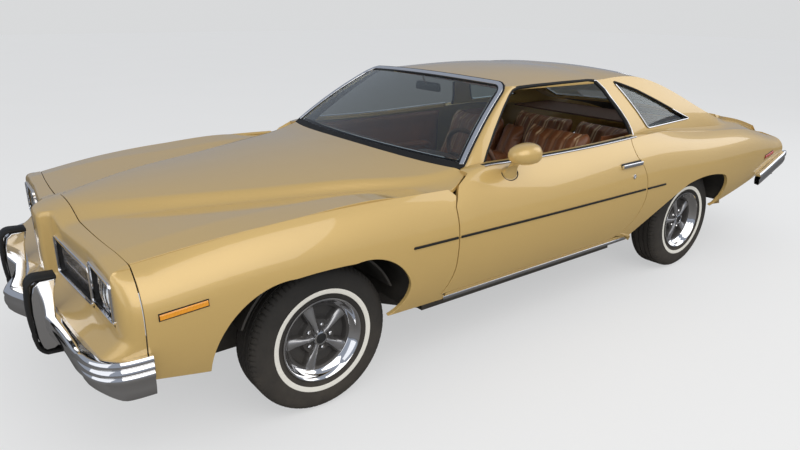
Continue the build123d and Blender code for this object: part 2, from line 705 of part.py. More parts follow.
def make_floor():
    """Cabin floor with tunnel, sills, heel kick and the trunk's floor."""
    x0, x1 = door_front - 15 - seat_gap, rear_axle + 330
    floor = block((x1 + 80, x0), (-700, 700), (floor_z, floor_z + floor_thickness))
    floor = floor + block((x1, x1 + 80), (-rear_wall_y, rear_wall_y), (floor_z, floor_z + floor_thickness))
    floor = floor - block((x1 - 1, x0 + 1), (-182, 182), (0, 1000))
    tunnel = front_prism([
        (-190, floor_z), (-150, 397), (150, 397), (190, floor_z), (178, floor_z), (140, 386),
        (-140, 386), (-178, floor_z),
    ], x1, x0 - 100)
    front_tunnel = front_prism([
        (-240, floor_z), (-225, 570), (225, 570), (240, floor_z), (228, floor_z), (213, 558),
        (-213, 558), (-228, floor_z),
    ], x0 - 300, x0)
    floor = floor - block((x0 - 300, x0 + 1), (-234, 234), (0, 1000))
    tunnel = tunnel - block((x0 - 300, x0 + 1), (-300, 300), (0, 1000))
    joggle = front_prism([
        (-240, floor_z), (-225, 570), (225, 570), (240, floor_z), (178, floor_z), (140, 386),
        (-140, 386), (-178, floor_z),
    ], x0 - 312, x0 - 300)
    floor = floor + tunnel + front_tunnel + joggle
    rocker = REAR_SECTIONS[0][1] - door_wall - 2 * seat_gap
    for side in (-1, 1):
        low, high = sorted((side * 699, side * rocker))
        floor = floor + block((door_rear + 85, x0), (low, high), (floor_z, sill_z + 24))
    return floor


def make_trunk_floor():
    x0, x1, x2 = rear_axle + 330, rear_axle - 400, tail_x + 8
    low, high = trunk_z, trunk_z + 60
    half = side_prism([
        (x0 - seat_gap, floor_z), (x0 - seat_gap, high + 12), (x1, high + 12), (x1 - 100, low + 12),
        (x2 + 12, low + 12), (x2 + 12, 640), (x2, 640), (x2, low), (x1 - 106, low), (x1 - 4, high),
        (x0 - 12, high), (x0 - 12, floor_z),
    ], -rear_wall_y, rear_wall_y)
    return half - block((x0 - 20, x0), (-170, 170), (0, 470))


def make_wheelhouses():
    """Rear wheelhouses inside the quarters and the front ones behind the fenders."""
    def house(x, y0, y1, radius, low):
        shell = rod((x, y0, tyre_radius), (x, y1, tyre_radius), radius)
        shell = shell - rod((x, y0 + 10, tyre_radius), (x, y1 + 1, tyre_radius), radius - 10)
        return shell & block((x - 500, x + 500), (y0, y1), (low, 1000))

    rear = house(rear_axle, rear_wall_y + seat_gap, rear_wall_y + 175, 372, 420)
    above_arm = tyre_radius + knuckle_reach[1] + 16 + 2 * seat_gap
    front = house(front_axle, 470 + seat_gap, 868, 402, above_arm)
    return both(rear), both(front)


def make_firewall():
    """Firewall, its cowl top and the side panels ahead of the doors."""
    x0, x1 = door_front - 15, door_front
    wall = block((x0, x1), (-745, 745), (floor_z, cowl_z - 15))
    wall = wall - block((x0 - 1, x1 + 1), (-245, 245), (0, 575))
    cowl = block((700, x1), (-745, 745), (cowl_z - 15, cowl_z))
    return wall + cowl


def make_dash():
    """Instrument panel."""
    return side_prism([
        (door_front - 15 - seat_gap, 640), (door_front - 15 - seat_gap, cowl_z - 15 - seat_gap),
        (690, cowl_z - 15 - seat_gap), (640, 925), (500, 925),
        ((455, 900), (470, 850)), (520, 660), (600, 620),
    ], -745, 745)


# Sections of the mirror's head, from its glass to its round nose
#   x, radius
MIRROR_SECTIONS = [(334, 58), (401, 62), (484, 54), (546, 35), (579, 8)]

wheel_centre = (205.0, 372.0, 868.0)
column_tilt = 24.0
steering_wheel_radius = 190.0


def column_line():
    """Ends of the steering column."""
    x, y, z = wheel_centre
    return [(x + run * cos(radians(column_tilt)), y, z - run * sin(radians(column_tilt)))
            for run in (48.0 + seat_gap, 470.0)]


def make_steering():
    """Column fixed under the dash, and the wheel that turns on it."""
    wheel = Torus(steering_wheel_radius, 13)
    hub = Pos(0, 0, -30) * Cylinder(42, 36)
    bar = Pos(0, 0, -12) * Box(2 * steering_wheel_radius - 8, 46, 14)
    tilt = radians(column_tilt)
    place = Plane(origin=wheel_centre, x_dir=(0, 1, 0), z_dir=(-cos(tilt), 0, sin(tilt)))
    return rod(*column_line(), 32), place.location * (wheel + hub + bar)


def make_seats():
    front_base = side_prism([
        (-330, 400), (-360, 540), ((-100, 600), (150, 585)), ((185, 540), (160, 440)), (120, 400),
    ], -660, 660)
    front_back = side_prism([
        (-350, 600), (-520, 985), ((-570, 1010), (-610, 980)), (-500, 560), (-420, 505),
        (-352.5 - seat_gap, 505), (-360 - seat_gap, 540),
    ], -650, 650)
    front_frame = both(block((-420, 100), (220, 600), (floor_z + floor_thickness + seat_gap, 400 - seat_gap)))
    low = 397 + seat_gap
    x0, x1 = -620.0, rear_axle + 346
    rear_base = side_prism([
        (x1, low), (x1 + 5, 560), ((0.44 * x0 + 0.56 * x1, 590), (x0 - 40, 575)),
        ((x0 + 20, 540), (x0, low)),
    ], -rear_wall_y, rear_wall_y)
    rear_back = side_prism([
        (x1 - 10, 588), (x1 - 200, 950), (x1 - 290, 950), (x1 - 110, 575 + seat_gap),
        (x1 - 25, 575 + seat_gap),
    ], -rear_wall_y, rear_wall_y)
    return [front_base, front_back], front_frame, [rear_base, rear_back]


def make_shelf():
    """Shelf behind the rear seat."""
    return block((rear_axle - 370, rear_axle + 57), (-690, 690), (935, 947))


def make_mirror():
    """Bullet-shaped mirror on its stalk, which only the driver's door has."""
    head = Solid.make_loft([
        Wire.make_circle(radius, Plane((x, 980, 1040), z_dir=(1, 0, 0)))
        for x, radius in MIRROR_SECTIONS
    ], False)
    stalk = rod((452, 973, 1028), (572, 880, 920), 19) - door_left
    return head + max(stalk.solids(), key=lambda solid: solid.center().Y)


def make_handle():
    """Pull handle: a bar on two feet that stand on the door's skin."""
    bar = block((-612, -442), (972, 984), (834, 856))
    for x in (-602, -466):
        bar = bar + block((x, x + 14), (930, 974), (838, 852))
    handle = bar - door_left
    return max(handle.solids(), key=lambda solid: solid.center().Y)


def at_wheel(shape, x, side, track):
    shape = Pos(x, track / 2, tyre_radius) * shape
    return shape if side > 0 else mirrored(shape)


hood_body = Solid.make_loft([hood_section(*row) for row in HOOD_SECTIONS], False)
fender_left, door_left, quarter_left = make_sides(hood_body)
deck = Solid.make_loft([deck_section(*row) for row in DECK_SECTIONS], False)
deck_frame = make_deck_frame(deck)
screen, back_glass, quarter_glass = make_glass()
bezels, headlamps = make_lamps()
tail_panel, tail_lamps = make_tail()
rear_houses, front_houses = make_wheelhouses()
rear_arms, rear_springs = make_rear_links()
gearbox, shaft = make_driveline()
column, steering_wheel = make_steering()
front_seat, seat_frame, rear_seat = make_seats()
lower_arm, upper_arm = make_front_arms()
wheel, tyre, knuckle = make_wheel(), make_tyre(), make_knuckle()
handle = make_handle()
rear_bumper = make_rear_bumper()
frame, rear_rails = make_frame()

NODES = {
    "body_shell": make_shell(quarter_left, deck_frame),
    "fenders": both(fender_left),
    "nose_panel": make_nose(),
    "grilles": make_grille(),
    "headlamp_bezels": bezels,
    "headlamps": headlamps,
    "tail_panel": tail_panel,
    "tail_lamps": tail_lamps,
    "front_bumper": make_front_bumper(),
    "bumper_guards": make_guards(),
    "rear_bumper": rear_bumper,
    "windscreen": screen,
    "rear_window": back_glass,
    "quarter_windows": quarter_glass,
    "firewall": make_firewall(),
    "floor_pan": make_floor(),
    "trunk_floor": make_trunk_floor(),
    "rear_wheelhouses": rear_houses,
    "front_wheelhouses": front_houses,
    "frame": frame,
    "rear_rails": rear_rails,
    "front_arms": both(lower_arm) + both(upper_arm),
    "rear_axle": make_rear_axle(),
    "rear_arms": rear_arms,
    "rear_springs": rear_springs,
    "engine": make_engine(),
    "gearbox": gearbox,
    "driveshaft": shaft,
    "radiator": make_radiator(),
    "exhaust": make_exhaust(),
    "fuel_tank": make_tank(),
    "dashboard": make_dash() - rod(*column_line(), 32 + seat_gap),
    "steering_column": column,
    "seat_frame": seat_frame,
    "front_seat": front_seat,
    "rear_seat": rear_seat,
    "parcel_shelf": make_shelf(),
    "steering_wheel": steering_wheel,
    "hood": hood_body & plan_prism(hood_outline(), 700, 1100),
    "trunk_lid": deck & plan_prism(lid_outline(), 600, 1100),
    "door_left": door_left,
    "door_right": mirrored(door_left),
    "door_fittings_left": [make_mirror(), handle],
    "door_fittings_right": mirrored(handle),
}
for end, x, track in (("front", front_axle, front_track), ("rear", rear_axle, rear_track)):
    for side, hand in ((1, "left"), (-1, "right")):
        NODES[f"wheel_{end}_{hand}"] = at_wheel(wheel, x, side, track)
        NODES[f"tyre_{end}_{hand}"] = at_wheel(tyre, x, side, track)
for side, hand in ((1, "left"), (-1, "right")):
    NODES[f"knuckle_{hand}"] = at_wheel(knuckle, front_axle, side, front_track)

os.makedirs("parts", exist_ok=True)
for name, shape in NODES.items():
    save(shape, name)
print(len(NODES), "nodes written")
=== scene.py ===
# %% [markdown]
# A two-door American muscle car of the middle 1970s, dressed around its imported solids. The
# solids hold the sizes and everything that moves. What is made here is the outside as one
# sees it: thin panels with rounded edges and real shut lines, bright trim, wheels and tyres,
# a cabin to look into, and the finish of every surface.
# The frame is loaded first, and the places of the wheel joints are read from it.

import json
import math

import bmesh
import bpy
import numpy as np
from mathutils import Matrix


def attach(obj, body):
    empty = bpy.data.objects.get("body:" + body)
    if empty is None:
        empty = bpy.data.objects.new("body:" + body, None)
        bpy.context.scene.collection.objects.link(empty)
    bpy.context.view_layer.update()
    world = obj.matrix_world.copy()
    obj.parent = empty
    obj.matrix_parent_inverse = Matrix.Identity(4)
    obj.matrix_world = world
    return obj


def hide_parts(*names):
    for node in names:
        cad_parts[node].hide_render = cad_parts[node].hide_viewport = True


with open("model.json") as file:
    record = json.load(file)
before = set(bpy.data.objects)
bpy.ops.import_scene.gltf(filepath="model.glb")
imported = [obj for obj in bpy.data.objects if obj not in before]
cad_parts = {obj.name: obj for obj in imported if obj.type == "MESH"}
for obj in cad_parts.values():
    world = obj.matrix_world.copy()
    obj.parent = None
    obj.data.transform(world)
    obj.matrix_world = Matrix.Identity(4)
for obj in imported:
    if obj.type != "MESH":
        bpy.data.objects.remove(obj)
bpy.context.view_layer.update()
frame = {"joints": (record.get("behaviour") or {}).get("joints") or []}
joints = {joint["name"]: joint for joint in frame["joints"]}
front_axle, front_half, hub_z = joints["spin_front_left"]["pos_m"]
rear_axle, rear_half, _ = joints["spin_rear_left"]["pos_m"]

# %% [markdown]
# Every panel is a sheet of four-sided faces. A grid of points is worked out as one numpy
# array, and one helper turns it into faces, another welds several grids into one piece.
# The left pieces are worked out and the right ones are the same arrays with y turned over,
# so each helper also makes sure that the faces look outwards.

# %% Meshes from arrays
SIDES = ((1, "left"), (-1, "right"))


def grid_faces(rows, columns, close_rows=False, close_columns=False):
    """Corner numbers of the quads of a grid that is stored row by row. A closed direction
    joins its last line to its first."""
    first = np.arange(rows if close_rows else rows - 1)
    second = np.arange(columns if close_columns else columns - 1)
    a, b = np.meshgrid(first, second, indexing="ij")
    a2, b2 = (a + 1) % rows, (b + 1) % columns
    quads = [a * columns + b, a2 * columns + b, a2 * columns + b2, a * columns + b2]
    return np.stack(quads, -1).reshape(-1, 4)


def points_of(x, y, z):
    """Points from their coordinates, which may be of different but matching shapes."""
    return np.stack(np.broadcast_arrays(x, y, z), -1)


def blend(first, last, shares):
    """Lines of points between two lines, one for each share of the way."""
    t = np.reshape(shares, (-1, 1, 1))
    return first * (1 - t) + last * t


def sheet(points, close_rows=False, close_columns=False):
    """One grid of points, shaped (rows, columns, 3), as (points, faces)."""
    points = np.asarray(points, float)
    faces = grid_faces(*points.shape[:2], close_rows, close_columns)
    return points.reshape(-1, 3), faces.tolist()


def fan(loop):
    """Flat cap over a closed loop of points, as triangles about the loop's middle."""
    loop = np.asarray(loop, float)
    count = len(loop)
    points = np.vstack([loop, loop.mean(0)])
    return points, [[i, (i + 1) % count, count] for i in range(count)]


def full_turn(count):
    """Angles of a whole turn in equal steps."""
    return np.arange(count) * 2 * math.pi / count


def ease(value):
    """Smooth rise from 0 to 1: three times the square less twice the cube."""
    value = np.clip(value, 0, 1)
    return value * value * (3 - 2 * value)


def solid(rings):
    """Closed body through rings of points, with a flat cap at both ends."""
    return [sheet(rings, False, True), fan(rings[0]), fan(rings[-1])]


def moved(part, side):
    """The part, or its mirror image at side -1."""
    points, faces = part
    return np.asarray(points) * (1, side, 1), faces


def turn_faces(mesh, toward):
    """Flips the whole mesh if it looks the wrong way: against the given direction, or, with
    none, if the volume that its faces enclose comes out negative."""
    count = len(mesh.polygons)
    normals, centres, areas = np.zeros(count * 3), np.zeros(count * 3), np.zeros(count)
    mesh.polygons.foreach_get("normal", normals)
    mesh.polygons.foreach_get("center", centres)
    mesh.polygons.foreach_get("area", areas)
    normals, centres = normals.reshape(-1, 3), centres.reshape(-1, 3)
    look = np.asarray(toward, float) if toward is not None else centres - centres.mean(0)
    if ((normals * look).sum(1) * areas).sum() < 0:
        mesh.flip_normals()


def piece(name, parts, body, material, slot=None, replaces=(), toward=None, thick=0.0,
          bevel=0.0, segments=2, inner=None, sharp=40.0, fix=False):
    """One welded piece from several (points, faces) parts, riding on a body. It can be given
    a thickness inwards and rounded edges, and inner is the material of its inner side."""
    points, faces, start = [], [], 0
    for part_points, part_faces in parts:
        points.append(np.asarray(part_points))
        faces += [[corner + start for corner in face] for face in part_faces]
        start += len(part_points)
    mesh = bpy.data.meshes.new(name)
    mesh.from_pydata(np.vstack(points).tolist(), [], faces)
    work = bmesh.new()
    work.from_mesh(mesh)
    bmesh.ops.remove_doubles(work, verts=work.verts, dist=2e-5)
    bmesh.ops.dissolve_degenerate(work, edges=work.edges, dist=1e-6)
    if fix:
        bmesh.ops.recalc_face_normals(work, faces=work.faces)
    work.to_mesh(mesh)
    work.free()
    mesh.update()
    turn_faces(mesh, toward)
    mesh.shade_smooth()
    mesh.set_sharp_from_angle(angle=math.radians(sharp))
    mesh.materials.append(material)
    if inner:
        mesh.materials.append(inner)
    thing = bpy.data.objects.new(name, mesh)
    bpy.context.scene.collection.objects.link(thing)
    if thick:
        wall = thing.modifiers.new("wall", "SOLIDIFY")
        wall.thickness, wall.offset = thick, -1
        wall.material_offset = 1 if inner else 0
    if bevel:
        edge = thing.modifiers.new("edge", "BEVEL")
        edge.width, edge.segments, edge.limit_method = bevel, segments, "ANGLE"
        edge.angle_limit = math.radians(sharp)
        edge.harden_normals = True
    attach(thing, body)
    if replaces:
        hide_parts(*replaces)
    return thing


def pair(name, parts, body, material, toward=None, replaces=(), **settings):
    """The left piece and its mirror image on the right. A star in a name stands for the side.
    A node without a star in its name is replaced by the left piece alone."""
    made = []
    for side, hand in SIDES:
        nodes = [node.replace("*", hand) for node in replaces if side > 0 or "*" in node]
        look = None if toward is None else (toward[0], toward[1] * side, toward[2])
        made.append(piece(name.replace("*", hand), [moved(part, side) for part in parts],
                          body.replace("*", hand), material, toward=look, replaces=nodes, **settings))
    return made


# %% [markdown]
# Trim, seals and rims all come from carrying a small outline along a path. The path's own
# direction and one fixed "up" give the frame in which the outline is drawn at each point.

# %% Outlines carried along a path
SEAL = {"sharp": 50, "fix": True}
TRIM = SEAL | {"slot": "chrome_trim"}


def sweep(path, outline, up=(0, 0, 1), closed=False):
    """Outline points (across, up) carried along a path of points. Across is the path's
    direction times up. An open path gets a flat cap at each end."""
    path, outline = np.asarray(path, float), np.asarray(outline, float)
    if closed:
        ahead, behind = np.roll(path, -1, 0), np.roll(path, 1, 0)
    else:
        ahead = np.vstack([path[1:], path[-1:]])
        behind = np.vstack([path[:1], path[:-1]])
    along_path = ahead - behind
    along_path /= np.linalg.norm(along_path, axis=1, keepdims=True)
    across = np.cross(along_path, np.broadcast_to(np.asarray(up, float), path.shape))
    across /= np.linalg.norm(across, axis=1, keepdims=True)
    upward = np.cross(across, along_path)
    points = path[:, None] + across[:, None] * outline[None, :, :1] + upward[:, None] * outline[None, :, 1:]
    return [sheet(points, True, True)] if closed else solid(points)


def round_outline(radius, count=12):
    """Circle of the given radius as outline points."""
    turn = full_turn(count)
    return np.stack([np.cos(turn), np.sin(turn)], 1) * radius


def box_outline(width, height, corner=0.3):
    """Rectangle with cut corners, the cut being a share of the shorter side."""
    a, b = width / 2, height / 2
    cut = corner * min(width, height)
    return np.array([(a - cut, -b), (a, -b + cut), (a, b - cut), (a - cut, b),
                     (-a + cut, b), (-a, b - cut), (-a, -b + cut), (-a + cut, -b)])


def lathe(profile, centre, turn_count=96):
    """Profile points (radius, along the axle) turned once about an axle along Y."""
    profile = np.asarray(profile, float)
    turn = full_turn(turn_count)
    x = profile[None, :, 0] * np.cos(turn)[:, None]
    z = profile[None, :, 0] * np.sin(turn)[:, None]
    y = np.broadcast_to(profile[None, :, 1], x.shape)
    return sheet(np.stack([x, y, z], -1) + np.asarray(centre), True, False)


def box_part(x, y, z):
    """Plain block between three pairs of limits, for use with rounded edges."""
    corners = np.array([[(a, b, c) for c in z] for a in x for b in y]).reshape(-1, 3)
    faces = [[0, 1, 3, 2], [4, 6, 7, 5], [0, 4, 5, 1], [2, 3, 7, 6], [0, 2, 6, 4], [1, 5, 7, 3]]
    return corners, faces


def spline(knots, values, at):
    """Natural cubic spline: in each span a cubic whose slope and bend match its neighbours,
    with no bend at the two ends. Knots may run either way."""
    knots, values, at = (np.asarray(given, float) for given in (knots, values, at))
    if knots[0] > knots[-1]:
        knots, values = knots[::-1], values[::-1]
    step, count = np.diff(knots), len(knots)
    slope = np.diff(values, axis=0) / step[:, None]
    system, right = np.eye(count), np.zeros_like(values)
    inside = np.arange(1, count - 1)
    system[inside, inside - 1] = step[:-1]
    system[inside, inside] = 2 * (step[:-1] + step[1:])
    system[inside, inside + 1] = step[1:]
    right[inside] = 6 * np.diff(slope, axis=0)
    bend = np.linalg.solve(system, right)
    span = np.clip(np.searchsorted(knots, at) - 1, 0, count - 2)
    width, low = step[span][..., None], (at - knots[span])[..., None]
    high = width - low
    return (bend[span] * high**3 + bend[span + 1] * low**3) / (6 * width) + (
        values[span] / width - bend[span] * width / 6) * high + (
        values[span + 1] / width - bend[span + 1] * width / 6) * low


def path_lengths(points):
    """Length of a path of straight runs up to each of its points."""
    return np.concatenate([[0], np.cumsum(np.linalg.norm(np.diff(points, axis=0), axis=1))])


def evenly(points, count, closed=False):
    """Points spaced evenly by length along a path of straight runs."""
    points = np.asarray(points, float)
    if closed:
        points = np.vstack([points, points[:1]])
    far = path_lengths(points)
    at = np.linspace(0, far[-1], count + 1 if closed else count)
    at = at[:-1] if closed else at
    return np.stack([np.interp(at, far, column) for column in points.T], 1)


def smoothly(points, count):
    """Points spaced evenly along the smooth curve through the given ones."""
    far = path_lengths(points)
    return spline(far, points, np.linspace(0, far[-1], count))


def run_of(mask):
    """Numbers of the points in the one run that the mask marks on a closed loop, in order."""
    start = np.argmax(mask & ~np.roll(mask, 1))
    return np.roll(np.arange(len(mask)), -start)[:mask.sum()]


def arc_through(a, b, c, count=16):
    """Points on the arc from a through b to c, in a plane. They are read as complex numbers.
    With w as the place of c where a is 0 and b is 1, the circle's middle is there w less the
    square of its size, over twice its imaginary part times i."""
    a, b, c = (complex(*point) for point in (a, b, c))
    w = (c - a) / (b - a)
    middle = a + (b - a) * (w - abs(w) ** 2) / (2j * w.imag)
    start, via, end = np.angle(np.array([a, b, c]) - middle)
    whole = (end - start) % (2 * math.pi)
    if (via - start) % (2 * math.pi) > whole:
        whole -= 2 * math.pi
    points = middle + abs(a - middle) * np.exp(1j * (start + np.linspace(0, 1, count) * whole))
    return np.stack([points.real, points.imag], 1)


def outline_path(items, count=16):
    """Open path in a plane. An item (a, b) is a point, and an item ((c, d), (a, b)) an arc
    through the first point to the second."""
    path = [np.array([items[0]], float)]
    for item in items[1:]:
        if isinstance(item[0], tuple):
            path.append(arc_through(tuple(path[-1][-1]), item[0], item[1], count)[1:])
        else:
            path.append(np.array([item], float))
    return np.vstack(path)

# %% [markdown]
# Finishes come next. Effects that several of them use are node groups with named sockets:
# smudges that change how sharply a surface shines, a pebbled grain, and the dust that settles
# low down on a car. They read Object coordinates, which are the car's own metres, so a
# pattern keeps its real size on every piece.

# %% Node helpers
def give(tree, value, socket):
    """Sets an input to a value, or joins it to the socket that is given as the value."""
    if isinstance(value, bpy.types.NodeSocket):
        tree.links.new(value, socket)
    else:
        socket.default_value = value


def add_node(tree, kind, inputs=None, **settings):
    """A node with its settings, and its inputs by name: a value, or a socket to join."""
    made = tree.nodes.new(kind)
    for key, value in settings.items():
        setattr(made, key, value)
    for key, value in (inputs or {}).items():
        give(tree, value, made.inputs[key])
    return made


def start_group(name, inputs, outputs):
    """Empty node group with float, colour and vector sockets given as (name, kind, value)."""
    tree = bpy.data.node_groups.new(name, "ShaderNodeTree")
    kinds = {"value": "NodeSocketFloat", "colour": "NodeSocketColor", "vector": "NodeSocketVector"}
    for title, kind, value in inputs:
        made = tree.interface.new_socket(title, in_out="INPUT", socket_type=kinds[kind])
        made.default_value = value
    for title, kind in outputs:
        tree.interface.new_socket(title, in_out="OUTPUT", socket_type=kinds[kind])
    return tree, tree.nodes.new("NodeGroupInput").outputs, tree.nodes.new("NodeGroupOutput").inputs


def mix_colours(tree, share, low, high):
    """Colour mix by a share, as the mixed colour's socket."""
    made = add_node(tree, "ShaderNodeMix", data_type="RGBA")
    for index, value in ((0, share), (6, low), (7, high)):
        give(tree, value, made.inputs[index])
    return made.outputs[2]


def remap(tree, value, low, high, to_low, to_high):
    """Straight-line change of range, clamped, as a socket."""
    made = add_node(tree, "ShaderNodeMapRange", {
        "Value": value, "From Min": low, "From Max": high, "To Min": to_low, "To Max": to_high})
    return made.outputs[0]


def place(tree):
    return add_node(tree, "ShaderNodeTexCoord").outputs["Object"]


def bands(tree, scale, way, distortion=0.0):
    """Even light and dark bands across one axis, as a socket."""
    made = add_node(tree, "ShaderNodeTexWave", {
        "Vector": place(tree), "Scale": scale, "Distortion": distortion}, bands_direction=way)
    return made.outputs["Fac"]


# %% Shared effects
EARTH = (0.27, 0.22, 0.16, 1)


def make_smudges():
    """Faint wiping marks: one soft noise with fine detail, which moves the roughness."""
    tree, given, out = start_group("smudges", [
        ("Roughness", "value", 0.3), ("Amount", "value", 0.05), ("Scale", "value", 6.0)],
        [("Roughness", "value")])
    soft = add_node(tree, "ShaderNodeTexNoise", {
        "Vector": place(tree), "Scale": given["Scale"], "Detail": 5.0, "Roughness": 0.6})
    centred = add_node(tree, "ShaderNodeMath", {0: soft.outputs[0], 1: 0.5}, operation="SUBTRACT")
    scaled = add_node(tree, "ShaderNodeMath", {
        0: centred.outputs[0], 1: given["Amount"], 2: given["Roughness"]}, operation="MULTIPLY_ADD")
    tree.links.new(scaled.outputs[0], out["Roughness"])
    return tree


def make_grain():
    """Pebbled skin of moulded plastic and vinyl: rounded cells as a height for a bump."""
    tree, given, out = start_group("pebble_grain", [
        ("Scale", "value", 400.0), ("Strength", "value", 0.2), ("Depth", "value", 0.0004)],
        [("Normal", "vector"), ("Height", "value")])
    cells = add_node(tree, "ShaderNodeTexVoronoi", {
        "Vector": place(tree), "Scale": given["Scale"]}, feature="SMOOTH_F1")
    bump = add_node(tree, "ShaderNodeBump", {
        "Height": cells.outputs["Distance"], "Strength": given["Strength"], "Distance": given["Depth"]})
    tree.links.new(bump.outputs[0], out["Normal"])
    tree.links.new(cells.outputs["Distance"], out["Height"])
    return tree


def make_dust():
    """Road dust: more of it towards the ground, broken up by noise, mixed over a colour."""
    tree, given, out = start_group("road_dust", [
        ("Color", "colour", (0.5, 0.5, 0.5, 1)), ("Dust", "colour", EARTH),
        ("Amount", "value", 0.3), ("Top", "value", 0.5)], [("Color", "colour")])
    where = place(tree)
    height = add_node(tree, "ShaderNodeSeparateXYZ", {0: where}).outputs[2]
    low = remap(tree, height, given["Top"], 0.0, 0.0, 1.0)
    spots = add_node(tree, "ShaderNodeTexNoise", {
        "Vector": where, "Scale": 9.0, "Detail": 8.0, "Roughness": 0.7})
    broken = add_node(tree, "ShaderNodeMath", {0: low, 1: spots.outputs[0]}, operation="MULTIPLY")
    share = add_node(tree, "ShaderNodeMath", {
        0: broken.outputs[0], 1: given["Amount"]}, operation="MULTIPLY", use_clamp=True)
    tree.links.new(mix_colours(tree, share.outputs[0], given["Color"], given["Dust"]), out["Color"])
    return tree


smudges, pebble_grain, road_dust = make_smudges(), make_grain(), make_dust()


def use_group(tree, group, inputs):
    """The outputs of a shared effect that is given these inputs."""
    return add_node(tree, "ShaderNodeGroup", inputs, node_tree=group).outputs


def start_material(name, colour, roughness, metallic=0.0, **sockets):
    """Material with its Principled shader; the sockets are given by name with _ for a space."""
    made = bpy.data.materials.new(name)
    made.use_nodes = True
    tree = made.node_tree
    shader = tree.nodes["Principled BSDF"]
    shader.inputs["Base Color"].default_value = (*colour, 1)
    shader.inputs["Roughness"].default_value = roughness
    shader.inputs["Metallic"].default_value = metallic
    for key, value in sockets.items():
        shader.inputs[key.replace("_", " ").title().replace("Ior", "IOR")].default_value = value
    made.diffuse_color = (*colour, 1)
    return made, tree, shader


def wander(tree, shader, roughness, amount, scale):
    """Lets the smudges move the shader's roughness."""
    rough = use_group(tree, smudges, {"Roughness": roughness, "Amount": amount, "Scale": scale})
    tree.links.new(rough["Roughness"], shader.inputs["Roughness"])


def dust_over(tree, shader, colour, amount, top, dust=EARTH):
    """Gives the shader a colour with road dust over it."""
    dusty = use_group(tree, road_dust, {"Color": colour, "Dust": dust, "Amount": amount, "Top": top})
    tree.links.new(dusty["Color"], shader.inputs["Base Color"])


def bump_by(tree, shader, height, strength, depth):
    """Gives the shader a bump from a height."""
    bump = add_node(tree, "ShaderNodeBump", {"Height": height, "Strength": strength, "Distance": depth})
    tree.links.new(bump.outputs[0], shader.inputs["Normal"])


# %% [markdown]
# The paint is a warm gold-tan enamel with a clear shine: a faintly metallic base under a
# coat, with very fine flakes and the slight orange-peel ripple that sprayed paint has.
# Bright trim is a plain mirror-like metal whose roughness wanders a little.

# %% Paint and metals
def make_paint():
    colour = (0.60, 0.405, 0.138)
    made, tree, shader = start_material(
        "tan_paint", colour, 0.38, 0.25, coat_weight=1.0, coat_roughness=0.035, coat_ior=1.5)
    where = place(tree)
    flakes = add_node(tree, "ShaderNodeTexVoronoi", {"Vector": where, "Scale": 2600.0})
    tinted = mix_colours(tree, remap(tree, flakes.outputs["Color"], 0.3, 1.0, 0.0, 0.16),
                         (*colour, 1), (0.86, 0.65, 0.31, 1))
    dust_over(tree, shader, tinted, 0.22, 0.62)
    wander(tree, shader, 0.38, 0.12, 3.0)
    peel = add_node(tree, "ShaderNodeTexNoise", {"Vector": where, "Scale": 55.0, "Detail": 2.0})
    bump_by(tree, shader, peel.outputs[0], 0.10, 0.0006)
    return made


def make_metal(name, colour, roughness, amount=0.06, scale=8.0):
    made, tree, shader = start_material(name, colour, roughness, 1.0)
    wander(tree, shader, roughness, amount, scale)
    return made


def make_plain_paint(name, colour, roughness, dust=0.5, top=1.2, metallic=0.0, grain=0.0):
    """Paint or bare casting of the underside, with dust over it."""
    made, tree, shader = start_material(name, colour, roughness, metallic)
    dust_over(tree, shader, (*colour, 1), dust, top)
    wander(tree, shader, roughness, 0.2, 11.0)
    if grain:
        skin = use_group(tree, pebble_grain, {"Scale": 160.0, "Strength": grain, "Depth": 0.0012})
        tree.links.new(skin["Normal"], shader.inputs["Normal"])
    return made


tan_paint = make_paint()
chrome = make_metal("chrome_plate", (0.86, 0.86, 0.87), 0.06)
stainless = make_metal("stainless_trim", (0.72, 0.72, 0.73), 0.2, 0.12)
black_paint = make_plain_paint("black_underbody", (0.018, 0.018, 0.018), 0.6, 0.35, 0.9)
aged_steel = make_plain_paint("aged_steel", (0.24, 0.20, 0.17), 0.55, 0.5, 0.6, 0.8)
engine_paint = make_plain_paint("engine_paint", (0.05, 0.16, 0.26), 0.45, 0.4, 1.2, 0.0, 0.25)
cast_alloy = make_plain_paint("cast_alloy", (0.42, 0.42, 0.42), 0.5, 0.4, 0.7, 0.9, 0.35)
brake_iron = make_plain_paint("brake_iron", (0.17, 0.15, 0.14), 0.45, 0.4, 0.6, 0.9)
wheel_silver = make_plain_paint("wheel_silver", (0.46, 0.46, 0.47), 0.32, 0.25, 0.7, 0.85)
wheel_dark = make_plain_paint("wheel_recess", (0.05, 0.05, 0.052), 0.45, 0.3, 0.7, 0.3)
